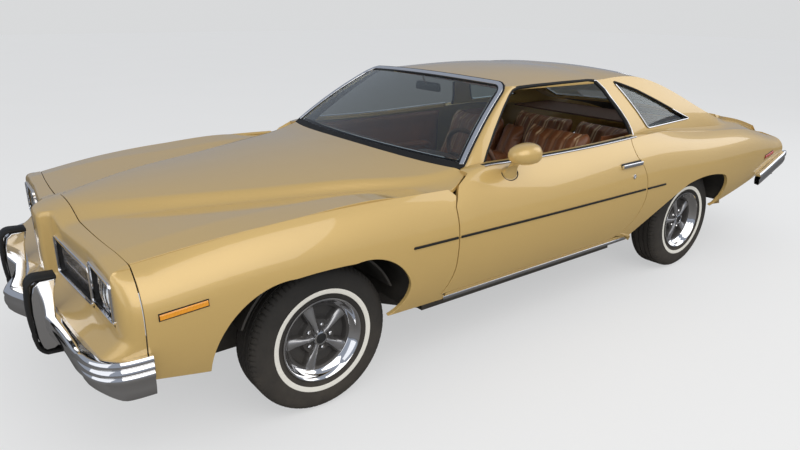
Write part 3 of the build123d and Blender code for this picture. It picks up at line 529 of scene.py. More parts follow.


# %% [markdown]
# Rubber, vinyl, plastic and glass. The seats are a saddle-brown vinyl with a pebbled skin whose
# hollows have painted shade. Glass keeps its plain transmission, with a faint green tint.

# %% Soft and clear finishes
def make_skin(name, colour, roughness, scale, strength, depth, hollow_shade=0.6, thread=None):
    """Grained skin with painted shade: the hollows between the pebbles take a darker colour."""
    made, tree, shader = start_material(name, colour, roughness)
    skin = use_group(tree, pebble_grain, {"Scale": scale, "Strength": strength, "Depth": depth})
    # Painted shade: the hollows between the pebbles are given this darker colour.
    dark = tuple(value * hollow_shade for value in colour)
    light = tuple(min(1.0, value * 1.25) for value in colour)
    pebbles = remap(tree, skin["Height"], 0.1, 0.7, 0.0, 1.0)
    worn = add_node(tree, "ShaderNodeTexNoise", {"Vector": place(tree), "Scale": 7.0, "Detail": 4.0})
    base = mix_colours(tree, pebbles, (*colour, 1), (*dark, 1))
    shade = mix_colours(tree, remap(tree, worn.outputs[0], 0.45, 0.75, 0.0, 0.5), base, (*light, 1))
    if thread:
        sewn = add_node(tree, "ShaderNodeAttribute", attribute_name="thread")
        shade = mix_colours(tree, sewn.outputs["Fac"], shade, (*thread, 1))
    tree.links.new(shade, shader.inputs["Base Color"])
    wander(tree, shader, roughness, 0.18, 14.0)
    tree.links.new(skin["Normal"], shader.inputs["Normal"])
    return made


def make_rubber(name, colour, roughness, dust):
    made, tree, shader = start_material(name, colour, roughness, 0.0, specular_ior_level=0.3)
    dust_over(tree, shader, (*colour, 1), dust, 0.75, (0.16, 0.13, 0.10, 1))
    wander(tree, shader, roughness, 0.25, 20.0)
    fine = use_group(tree, pebble_grain, {"Scale": 900.0, "Strength": 0.25, "Depth": 0.0002})
    tree.links.new(fine["Normal"], shader.inputs["Normal"])
    return made


def make_glass(name, colour, roughness=0.0, flutes=0.0):
    made, tree, shader = start_material(name, colour, roughness, 0.0, transmission_weight=1.0, ior=1.48)
    if flutes:
        bump_by(tree, shader, bands(tree, flutes, "Y"), 0.5, 0.002)
    return made


def make_lens(name, colour, dark):
    """Moulded coloured lens: small ribs inside show as lighter and darker lines."""
    made, tree, shader = start_material(
        name, colour, 0.12, 0.0, coat_weight=0.8, coat_roughness=0.03, transmission_weight=0.15)
    ribs = bands(tree, 60.0, "X")
    tree.links.new(mix_colours(tree, ribs, (*dark, 1), (*colour, 1)), shader.inputs["Base Color"])
    bump_by(tree, shader, ribs, 0.3, 0.001)
    return made


def make_fabric(name, colour, scale, lift=0.4):
    """Looped pile or cloth: two crossed waves for the weave, with noise in its colour."""
    made, tree, shader = start_material(name, colour, 0.95, 0.0, sheen_weight=0.3)
    warp, weft = bands(tree, scale, "X", 1.5), bands(tree, scale, "Y", 1.5)
    both = add_node(tree, "ShaderNodeMath", {0: warp, 1: weft}, operation="MULTIPLY").outputs[0]
    shade = mix_colours(tree, both, (*[c * 0.6 for c in colour], 1), (*colour, 1))
    tree.links.new(shade, shader.inputs["Base Color"])
    bump_by(tree, shader, both, lift, 0.001)
    return made


tyre_rubber = make_rubber("tyre_rubber", (0.017, 0.017, 0.017), 0.75, 0.5)
white_rubber = make_rubber("white_band", (0.72, 0.70, 0.64), 0.6, 0.12)
black_rubber = make_rubber("black_seal", (0.012, 0.012, 0.012), 0.6, 0.1)
saddle_vinyl = make_skin("saddle_vinyl", (0.25, 0.088, 0.032), 0.42, 420.0, 0.35, 0.0005,
                         thread=(0.62, 0.44, 0.27))
brown_plastic = make_skin("brown_plastic", (0.085, 0.042, 0.024), 0.5, 500.0, 0.3, 0.0004)
dark_plastic = make_skin("black_plastic", (0.02, 0.02, 0.02), 0.5, 500.0, 0.2, 0.0003)
tinted_glass = make_glass("tinted_glass", (0.80, 0.88, 0.85))
lamp_glass = make_glass("lamp_glass", (0.95, 0.96, 0.96), 0.02, 14.0)
red_lens = make_lens("red_lens", (0.60, 0.016, 0.010), (0.40, 0.008, 0.006))
amber_lens = make_lens("amber_lens", (0.90, 0.38, 0.03), (0.78, 0.29, 0.02))
carpet = make_fabric("brown_carpet", (0.10, 0.052, 0.028), 220.0)
headliner = make_fabric("headliner", (0.15, 0.115, 0.08), 160.0, 0.2)
print("finishes made:", len(bpy.data.materials))

# %% [markdown]
# The body's shape comes from a few tables. Each row gives one cross-section: how far along
# the car it is, then points of the section as out and up. Columns are joined along the car
# by smooth curves, and the side between them is two arcs that meet, upright, at the widest
# point, so the whole flank is one soft barrel.

# %% Tables of the body's sections, in metres
nose_x = front_axle + 0.736
tail_x = rear_axle - 1.215
door_ahead, door_behind = 0.848, -0.665
gap = 0.0045                  # width of the shut lines as seen

# x, sill out and up, widest out and up, crease or belt out and up
FRONT_ROWS = np.array([
    (nose_x, .885, .415, .935, .660, .821, .845),
    (front_axle + .430, .900, .385, .957, .685, .858, .887),
    (front_axle + .030, .905, .370, .974, .700, .878, .914),
    (front_axle - .370, .908, .366, .983, .700, .896, .918),
    (.800, .910, .366, .985, .700, .899, .908)])
REAR_ROWS = np.array([
    (.872, .910, .366, .985, .700, .902, .904),
    (.700, .910, .366, .986, .700, .880, .965),
    (.508, .910, .366, .987, .700, .871, .974),
    (.008, .910, .366, .985, .700, .870, .967),
    (-.580, .910, .366, .978, .702, .870, .978),
    (rear_axle + .400, .908, .376, .975, .706, .852, .978),
    (rear_axle + .050, .912, .385, .975, .706, .842, .945),
    (rear_axle - .350, .915, .418, .970, .706, .842, .914),
    (rear_axle - .780, .915, .500, .955, .705, .840, .876),
    (tail_x, .890, .610, .925, .690, .812, .775)])
# x, hood's edge, crest, foot of the raised middle, its top edge (each out and up), middle's height
HOOD_ROWS = np.array([
    (nose_x, .821, .845, .700, .857, .249, .858, .130, .892, .902),
    (front_axle + .430, .858, .887, .700, .894, .350, .872, .300, .915, .930),
    (front_axle + .030, .878, .914, .700, .908, .500, .884, .460, .925, .948),
    (front_axle - .370, .896, .918, .760, .912, .650, .893, .620, .937, .968),
    (.820, .900, .908, .850, .914, .800, .927, .770, .950, .990),
    (.690, .845, .960, .835, .963, .825, .968, .812, .976, 1.003)])
# x, crest, foot of the cabin, edge of the roof or deck (each out and up), middle's height
UPPER_ROWS = np.array([
    (-.600, .870, .978, .815, .985, .625, 1.300, 1.355),
    (-.930, .852, .978, .806, .990, .632, 1.298, 1.335),
    (-1.280, .842, .945, .800, .965, .690, 1.190, 1.212),
    (-1.600, .842, .918, .795, .942, .755, 1.045, 1.075),
    (-1.770, .842, .908, .790, .932, .762, .985, 1.012),
    (-1.950, .841, .892, .770, .916, .715, .948, .972),
    (-2.150, .840, .868, .745, .896, .705, .913, .938),
    (-2.350, .828, .826, .725, .850, .700, .866, .900),
    (tail_x, .812, .775, .705, .800, .690, .813, .845)])


def along(rows, x):
    """Every column of a table at the places x, joined by smooth curves."""
    return spline(rows[:, 0], rows[:, 1:], x)


def flank(x, z, rows):
    """Distance out of the side at each place and height: from the widest point an arc runs
    up through the crease or belt, and another down through the sill."""
    x, z = np.broadcast_arrays(np.asarray(x, float), np.asarray(z, float))
    sill_y, sill_z, wide_y, wide_z, edge_y, edge_z = np.moveaxis(along(rows, x), -1, 0)
    up = z > wide_z
    inset = wide_y - np.where(up, edge_y, sill_y)
    height = np.where(up, edge_z - wide_z, wide_z - sill_z)
    radius = (inset**2 + height**2) / (2 * inset)
    drop = np.clip(z - wide_z, -radius, radius)
    return wide_y - radius + np.sqrt(radius**2 - drop**2)


def on_side(x, z, rows):
    return points_of(x, flank(x, z, rows), z)


def hood_height(x, y, soften=0.008):
    """Height of the hood: straight runs between the columns and a crown over the middle,
    averaged over a few places across the car so that the creases are rounded."""
    x, y = np.broadcast_arrays(np.asarray(x, float), np.abs(np.asarray(y, float)))
    knots = along(HOOD_ROWS, x)
    edge_y, edge_z, crest_y, crest_z, foot_y, foot_z, ridge_y, ridge_z, middle_z = np.moveaxis(knots, -1, 0)
    total = np.zeros(x.shape)
    offsets = np.array([-1.6, -0.8, 0.0, 0.8, 1.6]) * soften
    for offset in offsets:
        at = np.abs(y + offset)
        crown = middle_z + (ridge_z - middle_z) * (at / ridge_y) ** 2
        raised = ridge_z + (foot_z - ridge_z) * (at - ridge_y) / (foot_y - ridge_y)
        flat = foot_z + (crest_z - foot_z) * (at - foot_y) / (crest_y - foot_y)
        outer = crest_z + (edge_z - crest_z) * (at - crest_y) / np.maximum(edge_y - crest_y, 1e-4)
        total += np.where(at < ridge_y, crown, np.where(
            at < foot_y, raised, np.where(at < crest_y, flat, outer)))
    return total / len(offsets)


def upper(x, t, part):
    """Upper rear body. Part 0 runs from the crest to the cabin's foot, part 1 from the foot
    up the side glass to the roof's edge with a slight bulge, and part 2 over the crown to
    the middle, where t is the share of each run."""
    x, t = np.broadcast_arrays(np.asarray(x, float), np.asarray(t, float))
    crest_y, crest_z, foot_y, foot_z, edge_y, edge_z, middle_z = np.moveaxis(along(UPPER_ROWS, x), -1, 0)
    if part == 0:
        y = crest_y + (foot_y - crest_y) * t
        z = crest_z + (foot_z - crest_z) * t - 0.004 * np.sin(math.pi * t)
    elif part == 1:
        z = foot_z + (edge_z - foot_z) * t
        y = foot_y + (edge_y - foot_y) * t + 0.2 * (edge_z - foot_z) * t * (1 - t)
    else:
        y = edge_y * (1 - t)
        z = middle_z + (edge_z - middle_z) * (1 - t) ** 2
    return np.stack([x, y, z], -1)


# %% [markdown]
# Now the outlines of the panels, seen from the side. Both wheel arches are flattened on top
# and run down with different curves ahead of and behind the wheel.

# %% Outlines of doors and wheel arches
FRONT_ARCH = outline_path([
    (front_axle + .505, .372), ((front_axle + .405, .615), (front_axle + .160, .697)),
    ((front_axle + .025, .702), (front_axle - .107, .698)),
    ((front_axle - .315, .648), (front_axle - .404, .536)),
    ((front_axle - .392, .440), (front_axle - .315, .372))])
REAR_ARCH = outline_path([
    (rear_axle + .730, .368), ((rear_axle + .460, .520), (rear_axle + .180, .642)),
    ((rear_axle - .020, .664), (rear_axle - .280, .636)),
    ((rear_axle - .352, .570), (rear_axle - .250, .405))])
DOOR_AHEAD = outline_path([
    (door_ahead + .057, .404), ((door_ahead + .010, .500), (door_ahead, .570)),
    (door_ahead, .835), (door_ahead - .022, .872), (door_ahead - .048, .919), (.700, .972)])
DOOR_BEHIND = outline_path([
    (door_behind + .245, .404), ((door_behind + .070, .492), (door_behind, .620)),
    ((door_behind + .010, .760), (door_behind + .050, .852)),
    ((door_behind + .084, .905), (door_behind + .060, .985))])


def door_edge(path, z, out=0.0):
    """Place along the car of a door's front or rear edge at a height."""
    return np.interp(z, path[:, 1], path[:, 0]) + out


def dress(name, parts, body, **settings):
    """A painted body panel, on both sides if its name holds a star."""
    settings = {"slot": "tan_paint", "thick": .016, "bevel": .0022} | settings
    make = pair if "*" in name else piece
    return make(name, parts, body, tan_paint, **settings)


# %% Fenders, doors and rockers
def arch_to_edge(arch, runs, share, lines, power):
    """Grid (along, up) from a wheel arch out to the three runs of a panel's edge. The arch is
    cut at the given shares, and each part into as many equal steps as its run."""
    fine = evenly(arch, 400)
    stops = (np.array(share) * 399).astype(int)
    inner = [evenly(fine[a:b + 1], len(run)) for a, b, run in zip(stops[:-1], stops[1:], runs)]
    inner, outer = (np.vstack([part[0], part[1][1:], part[2][1:]]) for part in (inner, runs))
    return blend(inner, outer, np.linspace(0, 1, lines) ** power)


def fender_part():
    """Grid from the wheel arch out to the nose seam, the crease and the door's edge."""
    half = gap / 2
    heights = np.linspace(.414, .845, 26)
    nose = np.stack([np.full(26, nose_x - half), heights], 1)
    crease_x = np.linspace(nose_x - half, door_ahead + .004, 44)
    crease = np.stack([crease_x, along(FRONT_ROWS, crease_x)[:, 5] - .0005], 1)
    heights = np.linspace(.902, .3665, 26)
    back = np.stack([door_edge(DOOR_AHEAD, np.maximum(heights, .404), half), heights], 1)
    back[heights < .398, 0] = .872 + half
    flat = arch_to_edge(FRONT_ARCH, (nose, crease, back), (0, .24, .70, 1), 14, 1.25)
    return sheet(on_side(flat[..., 0], flat[..., 1], FRONT_ROWS))


def door_part():
    """Rows of equal height shares from the door's bottom to the belt, each row between the
    front and rear edges. The height and the place are settled together in six rounds."""
    u, v = np.meshgrid(np.linspace(0, 1, 60), np.linspace(0, 1, 34))
    low, z = .404, .404 + .56 * v
    for _ in range(6):
        x = door_edge(DOOR_AHEAD, z, -gap / 2) * (1 - u) + door_edge(DOOR_BEHIND, z, gap / 2) * u
        top = along(REAR_ROWS, np.minimum(x, .872))[..., 5]
        z = low + (np.minimum(top, .985) - low) * v
    return on_side(x, z, REAR_ROWS)


def make_doors():
    skin = door_part()
    top = skin[-1:]
    full = np.concatenate([skin, top + [0, -.006, .004], top + [0, -.055, .007]])
    dress("door_skin_*", [sheet(full)], "door_*", replaces=["door_*"], thick=0.024, toward=(0, 1, 0.2))


def make_fenders():
    dress("fender_skin_*", [fender_part()], "body", replaces=["fenders"], thick=0.018,
          toward=(0, 1, 0.1))


def make_rockers():
    """Painted strip under the door. The bright moulding along its lower edge comes from make_rocker_trim."""
    x = np.linspace(.868, -.60, 60)
    z = np.linspace(.3665, .400, 5)[:, None]
    skin = on_side(*np.broadcast_arrays(x[None], z), REAR_ROWS)
    under = skin[:1] + (0, -.06, -.004)
    dress("rocker_skin_*", [sheet(np.concatenate([under, skin]))], "body", thick=0.012,
          toward=(0, 1, -0.5))


def quarter_part():
    """Grid from the rear arch out to the door's rear edge, the crest and the tail."""
    heights = np.linspace(.3665, .977, 26)
    front = np.stack([door_edge(DOOR_BEHIND, np.maximum(heights, .404), -gap / 2), heights], 1)
    front[heights < .40, 0] = -.604
    crest_x = np.linspace(front[-1, 0], tail_x, 50)
    crest = np.stack([crest_x, along(REAR_ROWS, crest_x)[:, 5]], 1)
    tail = np.stack([np.full(22, tail_x), np.linspace(.775, .610, 22)], 1)
    flat = arch_to_edge(REAR_ARCH, (front, crest, tail), (0, .30, .86, 1), 16, 1.2)
    lower = np.interp(flat[..., 0], REAR_ROWS[::-1, 0], REAR_ROWS[::-1, 2])
    behind = flat[..., 0] < REAR_ARCH[-1, 0]
    flat[..., 1] = np.where(behind, np.maximum(flat[..., 1], lower), flat[..., 1])
    return on_side(flat[..., 0], flat[..., 1], REAR_ROWS)


def upper_share(x, z):
    """Share of the run from foot to edge that has the height z at the place x."""
    knots = along(UPPER_ROWS, x)
    return (z - knots[..., 3]) / (knots[..., 5] - knots[..., 3])


def ring_between(hole, rim, lines, count):
    """Closed grid between two loops of points (along, up), paired by direction from the
    hole's middle. Both loops' own corners are among the directions."""
    middle = evenly(hole, 200, closed=True).mean(0)

    def turn_of(loop):
        return np.arctan2(*(loop - middle).T[::-1])
    even = np.linspace(-math.pi, math.pi, count, endpoint=False)
    stations = np.sort(np.concatenate([even, turn_of(rim), turn_of(hole)]))
    edges = []
    for loop in (evenly(hole, 1200, closed=True), evenly(rim, 1200, closed=True)):
        turn = turn_of(loop)
        edges.append(np.stack([np.interp(stations, turn, c, period=2 * math.pi) for c in loop.T], 1))
    return blend(*edges, np.linspace(0, 1, lines))


QUARTER_WINDOW = np.array([
    (-.681, 1.287), (-.777, 1.259), (-.875, 1.226), (-.975, 1.184), (-1.084, 1.138),
    (-1.196, 1.089), (-1.290, 1.049), (-1.372, 1.018), (-.862, 1.007)])
DOOR_WINDOW_REAR = np.array([
    (-.538, 1.300), (-.571, 1.249), (-.600, 1.186), (-.636, 1.123), (-.670, 1.058), (-.687, 1.006)])


def rounded(corners, radius, steps=6):
    """Closed outline with its corners rounded by curves that leave each side evenly."""
    corners, path = np.asarray(corners, float), []
    for before, here, after in zip(np.roll(corners, 1, 0), corners, np.roll(corners, -1, 0)):
        a, b = before - here, after - here
        a, b = a / np.linalg.norm(a), b / np.linalg.norm(b)
        t = np.linspace(0, 1, steps)[:, None]
        path.append((here + a * radius) * (1 - t)**2 + here * 2 * t * (1 - t) + (here + b * radius) * t**2)
    return np.vstack(path)


def sail_parts():
    """Side of the cabin behind the door: a ring about the three-sided quarter window, then
    the shelf from the cabin's foot out to the crest of the quarter panel."""
    edge_x = np.linspace(-.545, -1.770, 30)
    foot_x = np.linspace(-1.770, -.687, 26)
    edge = np.stack([edge_x, along(UPPER_ROWS, edge_x)[:, 5]], 1)
    foot = np.stack([foot_x, along(UPPER_ROWS, foot_x)[:, 3]], 1)
    rim = np.vstack([edge, foot, DOOR_WINDOW_REAR[:0:-1]])
    flat = ring_between(rounded(QUARTER_WINDOW, 0.022), rim, 9, 90)
    sail = upper(flat[..., 0], upper_share(flat[..., 0], flat[..., 1]), 1)
    x, t = np.meshgrid(np.linspace(-.612, tail_x, 60), np.linspace(0, 1, 7))
    shelf = upper(x, t, 0)
    x, t = np.meshgrid(np.linspace(-1.770, tail_x, 26), np.linspace(0, 1, 5))
    deck_side = upper(x, t, 1)
    x, t = np.meshgrid(np.linspace(LID_FRONT + gap / 2, tail_x, 26), np.linspace(0, 1, 4))
    ledge = upper(x, (1 - .6925 / along(UPPER_ROWS, x)[..., 4]) * t, 2)
    return sheet(sail, False, True), sheet(shelf), sheet(deck_side), sheet(ledge)


BACK_TOP, BACK_LOW = -.935, -1.735        # where the rear window starts and ends
LID_FRONT = rear_axle - .465


def back_window_y(x):
    """Half width of the rear window's opening."""
    return np.interp(x, [BACK_LOW, BACK_TOP], [.640, .505])


def strip_parts():
    """Painted strip between the rear window and the roof's edge on each side, and the band
    across the car between the window and the trunk lid."""
    x, t = np.meshgrid(np.linspace(BACK_TOP, BACK_LOW, 26), np.linspace(0, 1, 6))
    edge_y = along(UPPER_ROWS, x)[..., 4]
    strip = upper(x, (1 - back_window_y(x) / edge_y) * t, 2)
    x, t = np.meshgrid(np.linspace(BACK_LOW, LID_FRONT + gap / 2, 7), np.linspace(0, 1, 30))
    band = upper(x, t, 2)
    return sheet(strip), sheet(band)


def make_quarters():
    parts = [sheet(quarter_part()), *sail_parts(), *strip_parts()]
    dress("quarter_skin_*", parts, "body", replaces=["body_shell"], thick=0.02, toward=(0, 1, 0.35),
          fix=True)


def make_roof():
    """Roof from the windscreen's head to the rear window, with a rolled rail over the side
    glass. Its section falls from the crown to the rail, and turns down at the rail."""
    x = np.linspace(0, 1, 40)[:, None]
    w = np.linspace(-1, 1, 61)[None]
    front = .262 - .055 * w**2
    place_x = front + (BACK_TOP - front) * x
    edge = along(UPPER_ROWS, np.minimum(place_x, -.60))
    far = np.clip((place_x + .60) / .86, 0, 1)
    edge_y = edge[..., 4] + (.606 - edge[..., 4]) * far**1.2
    edge_z = edge[..., 5] + (1.306 - edge[..., 5]) * far
    middle = edge[..., 6] + far * (1.334 - edge[..., 6]) + .030 * 4 * far * (1 - far) * .75
    y = edge_y * np.sign(w) * np.abs(w) ** 0.92
    z = middle + (edge_z - middle) * np.abs(w) ** 2.3
    skin = np.stack([place_x, y, z], -1)
    left, right, rail = skin[:, -1:], skin[:, :1], skin[:, :1, :1] > -.556
    down = [right + rail * (0, -.001, -.022), right + rail * (0, -.004, -.010)]
    up = [left + rail * (0, .004, -.010), left + rail * (0, .001, -.022)]
    full = np.concatenate([*down, skin, *up], 1)
    dress("roof_skin", [sheet(full)], "body", thick=0.022, inner=headliner, toward=(0, 0, 1))


def make_hood():
    """Hood with its raised middle, which is narrow at the nose and widens to the cowl."""
    u, even = np.linspace(0, 1, 60)[:, None], np.linspace(-1, 1, 121)[None]
    w = .35 * np.sin(even * math.pi / 2) + .65 * even
    ahead = nose_x - .002 + .036 * (1 - np.abs(w) ** 2.5)
    x = ahead + (.822 - .122 * w**2 - ahead) * u
    y = w * (along(HOOD_ROWS, np.clip(x, .690, nose_x))[..., 0] - gap / 2)
    z = hood_height(np.minimum(x, nose_x + .04), y)
    dress("hood_skin", [sheet(np.stack([x, y, z], -1))], "hood", replaces=["hood"], thick=0.02,
          inner=black_paint, toward=(0, 0, 1))


def make_lid():
    x, w = np.meshgrid(np.linspace(LID_FRONT - .0075, tail_x + .012, 30), np.linspace(-1, 1, 61),
                       indexing="ij")
    top = upper(x, 1 - np.abs(w) * (.690 - gap / 2) / along(UPPER_ROWS, x)[..., 4], 2)
    top[..., 1] *= np.sign(w)
    top[0, :, 2] -= .005
    last = top[-1:]
    full = np.concatenate([top, last + (-.012, 0, -.008), last + (-.016, 0, -.030)])
    dress("trunk_lid_skin", [sheet(full)], "trunk_lid", replaces=["trunk_lid"], thick=0.018,
          inner=black_paint, toward=(0, 0, 1))


make_fenders()
make_doors()
make_rockers()
make_quarters()
make_roof()
make_hood()
make_lid()

# %% [markdown]
# The nose is one moulded piece between the hood, the fenders and the bumper. Its top carries
# the hood's shape on, rolls over into an upright face, and a narrow prow stands out in the
# middle. Grille and lamp openings are left out of the grid and edged with bright metal.

# %% Nose
OPENINGS = ((.120, .560), (.576, .840))
NOSE_LOW = .548
TOP_LINES, ROLL_LINES = 9, 5
FACE_LINES = (3, 8, 8)                    # above, beside and below the openings


def nose_front(y):
    """Front face seen from above: the prow, then each side falling back."""
    return np.interp(np.abs(y), [0, .060, .080, .098, .120, .560, .840],
                     [2.424, 2.421, 2.411, 2.384, 2.371, 2.336, 2.329])


def hood_seam(y):
    """Line of the seam between hood and nose."""
    return nose_x + .036 * (1 - np.clip(np.abs(y) / .821, 0, 1) ** 2.5)


def top_height(x, y):
    """Hood's height, carried on over the nose and falling a little towards the face."""
    over = np.clip((x - nose_x) / .16, 0, 1)
    return hood_height(np.minimum(x, nose_x), y) - .034 * over ** 1.7


def opening_top(y):
    return np.interp(y, [.120, .560, .576, .840], [.780, .762, .800, .794])


def opening_low(y):
    return np.interp(y, [.120, .560, .576, .840], [.612, .606, .636, .642])


def nose_grid(columns):
    """Points of one side of the nose: rows run forward over the top, round the edge, and down
    the face to the lower lip."""
    roll = .030
    face, seam = nose_front(columns), hood_seam(columns) + gap / 2
    narrow = .8187 / .840
    s = np.linspace(0, 1, TOP_LINES)[:, None]
    x = seam + (face - roll - seam) * s
    y = columns * (narrow + (1 - narrow) * s**3)
    over = np.stack([x, y, top_height(x, y)], -1)
    high = over[-1, :, 2]
    turn = np.linspace(0, math.pi / 2, ROLL_LINES + 1)[1:, None]
    rolled = np.stack([face - roll + roll * np.sin(turn), columns + 0 * turn,
                       high - roll + roll * np.cos(turn)], -1)
    marks = [high - roll, opening_top(columns), opening_low(columns), NOSE_LOW + 0 * columns]
    apron = np.interp(columns, [0, .06, .16, .30, .43, .56, .84],
                      [2.500, 2.485, 2.455, 2.440, 2.432, 2.425, 2.400])
    downs = []
    for a, b, count in zip(marks[:-1], marks[1:], FACE_LINES):
        z = a + (b - a) * np.linspace(0, 1, count + 1)[1:, None]
        reach = np.clip((.605 - z) / (.605 - NOSE_LOW), 0, 1) ** 1.7
        downs.append(np.stack([face + (apron - face) * reach, columns + 0 * z, z], -1))
    last = downs[-1][-1]
    lip = np.stack([last + (.001, 0, -.004), last + (.001, 0, -.012), last + (0, 0, -.030)])
    return np.concatenate([over, rolled, *downs, lip])


def nose_corner(edge):
    """Rounded corner from the lamp to the fender: at the height of each point of the grid's
    last column, a quarter of a squared circle runs round to the fender's section."""
    seam_x = nose_x + gap / 2
    turn = np.linspace(0, math.pi / 2, 15)[None]
    face_x, face_y, z = (edge[:, k][:, None] for k in range(3))
    side = flank(np.full(z.shape, nose_x), np.minimum(z, .845), FRONT_ROWS)
    side = np.maximum(side, face_y)
    x = seam_x + (face_x - seam_x) * np.cos(turn) ** .85
    y = face_y + (side - face_y) * np.sin(turn) ** .85
    grid = np.stack([x, y, z + 0 * x], -1)
    lip = grid[-1:] + (0, 0, -.012)
    return np.concatenate([grid, lip])


def make_nose():
    (a0, a1), (b0, b1) = OPENINGS
    columns = np.concatenate([
        np.linspace(0, .060, 5), np.linspace(.066, .098, 6), [.108], np.linspace(a0, a1, 19),
        [.568], np.linspace(b0, b1, 11)])
    grid = nose_grid(columns)
    row_top = TOP_LINES + ROLL_LINES + FACE_LINES[0]
    row_low = row_top + FACE_LINES[1]
    points, faces = sheet(grid)
    width = len(columns)
    row = np.arange(len(faces)) // (width - 1)
    middle = (columns[:-1] + columns[1:]) / 2
    column = middle[np.arange(len(faces)) % (width - 1)]
    inside = ((column > a0) & (column < a1)) | ((column > b0) & (column < b1))
    kept_faces = [face for face, cut in zip(
        faces, inside & (row >= row_top) & (row < row_low)) if not cut]
    corner = sheet(nose_corner(grid[:row_low + FACE_LINES[2], -1]))
    parts = []
    for side, _ in SIDES:
        parts += [moved((points, kept_faces), side), moved(corner, side)]
    dress("nose_skin", parts, "body", replaces=["nose_panel"], thick=0.006, bevel=0.0015,
          toward=(1, 0, 0.5), fix=True)


def opening_loop(y0, y1, grow=0.0, ahead=0.0, steps=7):
    """Loop round one opening of the nose, with rounded corners, on the nose's face."""
    corners = [(y0 - grow, opening_low(y0) - grow), (y1 + grow, opening_low(y1) - grow),
               (y1 + grow, opening_top(y1) + grow), (y0 - grow, opening_top(y0) + grow)]
    flat = evenly(rounded(corners, 0.018, steps), 72, closed=True)
    return np.stack([nose_front(flat[:, 0]) + ahead, flat[:, 0], flat[:, 1]], 1)


def make_grilles():
    """Bright edging of the openings, their dark sides, and upright bars set well back."""
    rims, walls, bars = [], [], []
    for y0, y1 in OPENINGS:
        loop = opening_loop(y0, y1, ahead=.002)
        rims += sweep(loop, box_outline(.011, .012), up=(1, 0, 0), closed=True)
        walls.append(sheet(np.stack([loop + [-.004, 0, 0], loop + [-.062, 0, 0]]), False, True))
    y0, y1 = OPENINGS[0]
    for y in np.linspace(y0 + .008, y1 - .008, 44):
        x = nose_front(y) - .018
        bars.append(box_part((x - .014, x), (y - .0022, y + .0022),
                             (opening_low(y) + .004, opening_top(y) - .004)))
    for share in (.34, .67):
        y = np.linspace(y0 + .006, y1 - .006, 8)
        z = opening_low(y) + (opening_top(y) - opening_low(y)) * share
        bars += sweep(np.stack([nose_front(y) - .022, y, z], 1), box_outline(.010, .003))
    pair("grille_back_*", [fan(opening_loop(y0, y1, ahead=-.062))], "body", dark_plastic,
         toward=(1, 0, 0))
    pair("grille_rim_*", rims, "body", chrome, slot="chrome_trim", fix=True)
    pair("grille_wall_*", walls, "body", dark_plastic, fix=True)
    pair("grille_bars_*", bars, "body", stainless, slot="chrome_trim", replaces=["grilles"],
         sharp=30, fix=True)


def make_headlamps():
    """Round lamp in a square bright bezel: a dished ring, a reflector and a domed lens."""
    y0, y1 = OPENINGS[1]
    centre_y, centre_z, radius = .709, .7175, .0745
    x = float(nose_front(centre_y))
    flat = evenly(opening_loop(y0, y1, grow=-.004, ahead=-.030)[:, 1:], 72, closed=True)
    order = np.arctan2(flat[:, 1] - centre_z, flat[:, 0] - centre_y)
    flat, angle = flat[np.argsort(order)], np.sort(order)

    def circle(far, at, turn=full_turn(72)):
        y, z = centre_y + far * np.cos(turn), centre_z + far * np.sin(turn)
        return points_of(at, y, z)
    outer = np.stack([np.full(72, x - .016), flat[:, 0], flat[:, 1]], 1)
    bezel = [outer] + [circle(radius + more, x - back, angle) for more, back in (
        (.013, .014), (.008, .006), (0, .008), (-.003, .024))]
    share = np.linspace(0, 1, 9)[:, None]
    dome = circle((radius - .003) * share, x - .012 + .016 * (1 - share**2))
    bowl = circle((radius - .004) * share, x - .018 - .050 * np.sqrt(1 - .96 * share**2))
    pair("lamp_bezel_*", [sheet(np.stack(bezel), False, True)], "body", chrome,
         slot="chrome_trim", replaces=["headlamp_bezels"], toward=(1, 0, 0))
    pair("lamp_lens_*", [sheet(dome[1:], False, True), fan(dome[1])], "body", lamp_glass,
         slot="clear_glass", replaces=["headlamps"], toward=(1, 0, 0), thick=.003)
    pair("lamp_bowl_*", [sheet(bowl[1:], False, True), fan(bowl[1])], "body", chrome, toward=(1, 0, 0))


make_nose()
make_grilles()
make_headlamps()

# %% [markdown]
# The front bumper is a slim bright bar in a shallow V. Its ends are deeper, with three ridges,
# and wrap round under the fenders. Two upright guards have a band of black rubber.

# %% Bumpers
# Left halves of the bumpers' front lines, seen from above, then sections as (out, height)
FRONT_PLAN = np.array([
    (2.585, 0.0), (2.568, .060), (2.530, .154), (2.500, .300), (2.482, .430), (2.470, .560),
    (2.466, .680), (2.460, .770), (2.444, .845), (2.410, .905), (2.362, .940), (2.300, .954),
    (2.244, .957)])
REAR_PLAN = np.array([
    (-2.662, 0.0), (-2.658, .300), (-2.648, .560), (-2.634, .760), (-2.618, .870),
    (-2.590, .930), (-2.540, .957), (-2.450, .962), (-2.330, .962), (-2.175, .959)])
BAR_SECTION = np.array([
    (-.110, .526), (-.030, .538), (-.010, .538), (-.002, .532), (.000, .522), (-.003, .512),
    (.000, .502), (.001, .485), (-.002, .470), (-.006, .462), (-.008, .450), (-.014, .440),
    (-.026, .434), (-.050, .436), (-.075, .460), (-.105, .500)])
END_SECTION = np.array([
    (-.095, .530), (-.018, .546), (-.006, .545), (.000, .536), (.001, .524), (-.008, .516),
    (-.001, .508), (.001, .494), (-.010, .485), (-.003, .477), (-.003, .462), (-.012, .452),
    (-.012, .420), (-.020, .385), (-.040, .374), (-.095, .460)])


